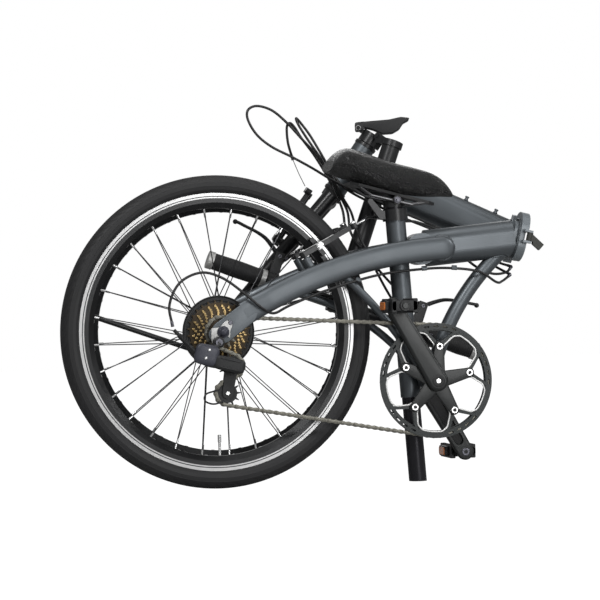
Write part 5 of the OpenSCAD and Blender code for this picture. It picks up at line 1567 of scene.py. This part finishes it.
AWAY_X, AWAY_Z = -STUD_X, WHEEL_R - STUD_Z
REAR_PAD = pad_along(
    AWAY_X * math.cos(STUD_TILT) + AWAY_Z * math.sin(STUD_TILT),
    AWAY_Z * math.cos(STUD_TILT) - AWAY_X * math.sin(STUD_TILT),
)
BRAKES = (("rear", rear_stud, REAR_PAD), ("front", front_stud, pad_along(-212, 4)))


class BICYCLE_OT_frame(bpy.types.Operator):
    """Stays, welds, hinge pin heads, the post's latch, cable stops, and the fittings of the brakes"""

    bl_idname = "bicycle.frame"
    bl_label = "Frame"

    def execute(self, context):
        half = sizes().bead / MM
        self.stays()
        self.rear_welds(half)
        self.front_welds(half)
        self.hinge_bolts()
        self.post_latch()
        self.cable_stops()
        self.brake_bolts()
        self.brake_link()
        return {"FINISHED"}

    def stays(self):
        """Both stays with their rounded dropout plates, the kickstand's tab and the studs of the rear
        brake."""
        for side, name in ((-1, "stay_right"), (1, "stay_left")):
            form = Form().add(stay_surface(side), SET_DOWN, ends=True)
            faces = sorted((side * DROPOUT_IN, side * DROPOUT_OUT))
            form.plate(SET_DOWN, link_outline((0, WHEEL_R), (46, 327), 21, 20, 40), *faces, 1.4)
            form.plate(SET_DOWN, link_outline((-14, WHEEL_R - 4), (0, WHEEL_R), 13, 12.9, 30), *faces, 1.4)
            if side > 0:
                tab = link_outline((-6, WHEEL_R - 6), (KICK_X, KICK_Z), 15, 11, 30)
                form.plate(SET_DOWN, tab, *faces, 1.4)
                pin = [(0, DROPOUT_OUT - 1), (4, DROPOUT_OUT - 1), (4, 96.4), (3.4, 97), (0, 97)]
                form.add(along_y(pin, 28), SET_DOWN @ move(KICK_X, 0, KICK_Z))
            stud = np.array([STUD_X, side * STUD_Y, STUD_Z])
            for low, high, radius, sides in ((-36, -2, 8.0, 28), (-4, 13, 4.0, 20)):
                ends = stud + np.array([[low], [high]]) * STUD_UP
                form.add(tube(ends, radius, sides), SET_DOWN, ends=True)
            form.piece(name + "_tube", "rear_frame", "frame", "frame", 40.0, [name])

    def weld(self, form, path, matrix, half, closed=True):
        """A rippled bead along a line."""
        path = resampled(np.asarray(path, float), 0.85, closed)
        bead = tube(path, bead_radius(path, half, closed), 10, closed)
        form.add(bead, matrix, wrap_u=closed, ends=not closed)

    def rear_welds(self, half):
        """Beads where the main tube meets the hinge plate, the stays' noses and the down strut. A ring of
        points is carried along the tube to the plane, or the wall, that it meets."""
        form = Form()
        outline = slot_outline(TUBE_H + 0.6, TUBE_W + 0.6, 40)
        tilt = math.radians(HINGE_LEAN)
        face = np.array([math.cos(tilt), 0, -math.sin(tilt)])
        face_at = np.array([HINGE_X, 0, HINGE_Z]) - face * (PLATE_T + 0.6)
        ring = MAIN_REF + outline[:, :1] * ACROSS + outline[:, 1:] * MAIN_UP
        ring = ring + ((face_at - ring) @ face / (MAIN_DIR @ face))[:, None] * MAIN_DIR
        self.weld(form, ring, SET_DOWN, half)
        a = np.radians(np.linspace(-118, 118, 90))
        nose_x, nose_z = STAY_ENDS[-1, [0, 2]]
        for side in (-1, 1):
            arc = [nose_x + 22.8 * np.cos(a), np.full(len(a), side * 25.6), nose_z + 22.8 * np.sin(a)]
            self.weld(form, np.stack(arc, -1), SET_DOWN, half * 1.5, False)
        a = round_angles(120)
        top, knee = np.array([562.0, 0, 438.0]), np.array([516.5, 0, 386.0])
        way = unit(knee - top)
        e1 = np.array([-way[2], 0, way[0]])
        circle = top + (STRUT_R + 0.4) * (np.cos(a)[:, None] * e1 + np.sin(a)[:, None] * ACROSS)
        wall = -(TUBE_H / 2 - TUBE_W / 2 + np.sqrt((TUBE_W / 2 + 0.3) ** 2 - circle[:, 1] ** 2))
        circle = circle + ((wall - (circle - MAIN_REF) @ MAIN_UP) / (way @ MAIN_UP))[:, None] * way
        self.weld(form, circle, SET_DOWN, half)
        form.piece("rear_welds", "rear_frame", "bead", "frame", 60.0)

    def front_welds(self, half):
        """The bead where the front tube meets its hinge plate."""
        form = Form()
        outline = slot_outline(TUBE_H + 0.4, TUBE_W + 0.4, 40)
        ring = np.stack([np.full(len(outline), PLATE_T + 0.9), outline[:, 0], outline[:, 1] + 1.2], -1)
        self.weld(form, ring, FRONT, half)
        form.piece("front_welds", "front_frame", "bead", "frame", 60.0)

    def hinge_bolts(self):
        """Pin heads at both ends of the frame hinge."""
        head = socket_head(7.2, 2.6, 6.2, 3.6, 3.2, 3.0, 1.6, 40)
        form = Form()
        for side, flip in ((-1, 180), (1, 0)):
            form.add(head, AT_HINGE @ move(0, 0, side * 40.2) @ turn(flip, "X"))
        form.piece("hinge_pin_heads", "rear_frame", "dark", "dark_steel", 30.0)

    def post_latch(self):
        """The handlepost's latch: a thick hooked lever cut from one rounded side view, and its pin."""
        at = STEERING @ move(31, 0, 132) @ turn(-52, "Y")
        form = Form().plate(at, rounded(LATCH_EDGE, 3.0), -12, 12, 2.0, 5)
        for lug in (-9.5, 9.5):
            form.plate(at, rounded(LATCH_LUG, 4.0), lug - 2.4, lug + 2.4, 0.8)
        form.piece("post_latch_lever", "post_latch", "plastic", "plastic", 35.0, ["post_latch"])
        pin = [(0, -13.2), (4.6, -13.2), (5.2, -12.6), (5.2, 12.6), (4.6, 13.2), (0, 13.2)]
        Form().add(along_y(pin, 28), at).piece("post_latch_pin", "post_latch", "satin", "silver", 35.0)

    def cable_stops(self):
        """Two small posts on top of the front tube, where a cable can be led."""
        post = [
            (0, 0), (4.6, 0), (4.6, 1.2), (3.2, 1.8), (3.2, 5.0), (4.2, 5.6), (4.2, 7.2), (3.4, 8.0),
            (0, 8.0),
        ]
        form = Form()
        for run in (42.0, 104.0):
            at = FRONT @ move(run * 0.978 + 8.8, 0, run * 0.211 + 34.2) @ turn(-12.2, "Y")
            form.add(along_z(post, 28), at)
        form.piece("cable_stops", "front_frame", "frame", "frame", 35.0)

    def brake_bolts(self):
        """The pivot bolt, pad nut, cable screw and return spring of each brake arm."""
        head = socket_head(6.2, 2.2, 5.4, 3.2, 3.0, 2.8, 1.4)
        nut = [(0, 0), (6.8, 0), (6.8, 1.2), (5.4, 1.3), (5.4, 5.4), (4.6, 6.2), (0, 6.2)]
        spring = [(-7, 2, 12.2), (2, 8.6, 12.2), (14, 8.0, 12.2), (40, 7.2, 11.4), (66, 6.2, 11.2)]
        for wheel, stud, pad in BRAKES:
            for side, name in ((-1, "right"), (1, "left")):
                at = stud(side)
                form = Form().add(head, at @ move(0, 0, 11.1))
                form.add(head, at @ move(ARM_TOP, -1, 11.1))
                form.add(along_z(nut, 48, (3, 4)), at @ move(pad, 6.6, 5.5) @ turn(-90, "X"))
                form.rod(spring, 1.5, 0.9, 10, at)
                form.piece(f"{wheel}_brake_{name}_bolts", f"{wheel}_brake_{name}", "bright", "silver", 35.0)

    def brake_link(self):
        """The rear brake's bent pipe, ribbed boot and bare wire, down from the casing to the brake arm."""
        pipe = [(284, -18, 497), (272, -24, 491), (256, -28, 484), (240, -31, 476)]
        Form().rod(pipe, 1.0, 2.3, 14).piece("brake_pipe", "rear_brake_right", "bright", "silver", 50.0)
        line = smooth_path([(240, -31, 476), (224, -34, 468), (209, -38, 460)], 0.4)
        s = np.linspace(0, 1, len(line))
        ribs = 0.84 + 0.16 * np.cos(2 * math.pi * 9 * s)
        boot = (4.6 - 1.2 * s) * ribs * np.minimum(1, 0.45 + 6 * np.minimum(s, 1 - s))
        Form().add(tube(line, boot, 20), SET_DOWN, ends=True).piece(
            "brake_boot", "rear_frame", "rubber", "rubber", 50.0
        )
        wire = [(209, -38, 460), (192, -44, 450), (176, -49, 441)]
        Form().rod(wire, 2.0, WIRE_R, 8).piece("brake_wire", "rear_frame", "bright", "silver", 50.0)


class BICYCLE_PT_panel(bpy.types.Panel):
    """The bicycle's builders and values"""

    bl_idname = "BICYCLE_PT_panel"
    bl_label = "Folded bicycle"
    bl_space_type = "VIEW_3D"
    bl_region_type = "UI"
    bl_category = "Bicycle"

    def draw(self, context):
        for builder in BUILDERS:
            self.layout.operator(builder.bl_idname)
        for group in (context.scene.bicycle_colours, context.scene.bicycle_sizes):
            box = self.layout.box()
            for name in group.bl_rna.properties.keys():
                if name not in ("rna_type", "name"):
                    box.prop(group, name)


BUILDERS = (
    BICYCLE_OT_stage,
    BICYCLE_OT_finishes,
    BICYCLE_OT_cables,
    BICYCLE_OT_saddle,
    BICYCLE_OT_wheels,
    BICYCLE_OT_bar,
    BICYCLE_OT_drive,
    BICYCLE_OT_frame,
)
CLASSES = (BicycleColours, BicycleSizes, *BUILDERS, BICYCLE_PT_panel)


def register():
    for item in CLASSES:
        bpy.utils.register_class(item)
    bpy.types.Scene.bicycle_colours = bpy.props.PointerProperty(type=BicycleColours)
    bpy.types.Scene.bicycle_sizes = bpy.props.PointerProperty(type=BicycleSizes)


def unregister():
    del bpy.types.Scene.bicycle_sizes
    del bpy.types.Scene.bicycle_colours
    for item in reversed(CLASSES):
        bpy.utils.unregister_class(item)


def main():
    """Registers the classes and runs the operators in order."""
    register()
    for builder in BUILDERS:
        group, name = builder.bl_idname.split(".")
        getattr(getattr(bpy.ops, group), name)()


if __name__ == "__main__":
    main()
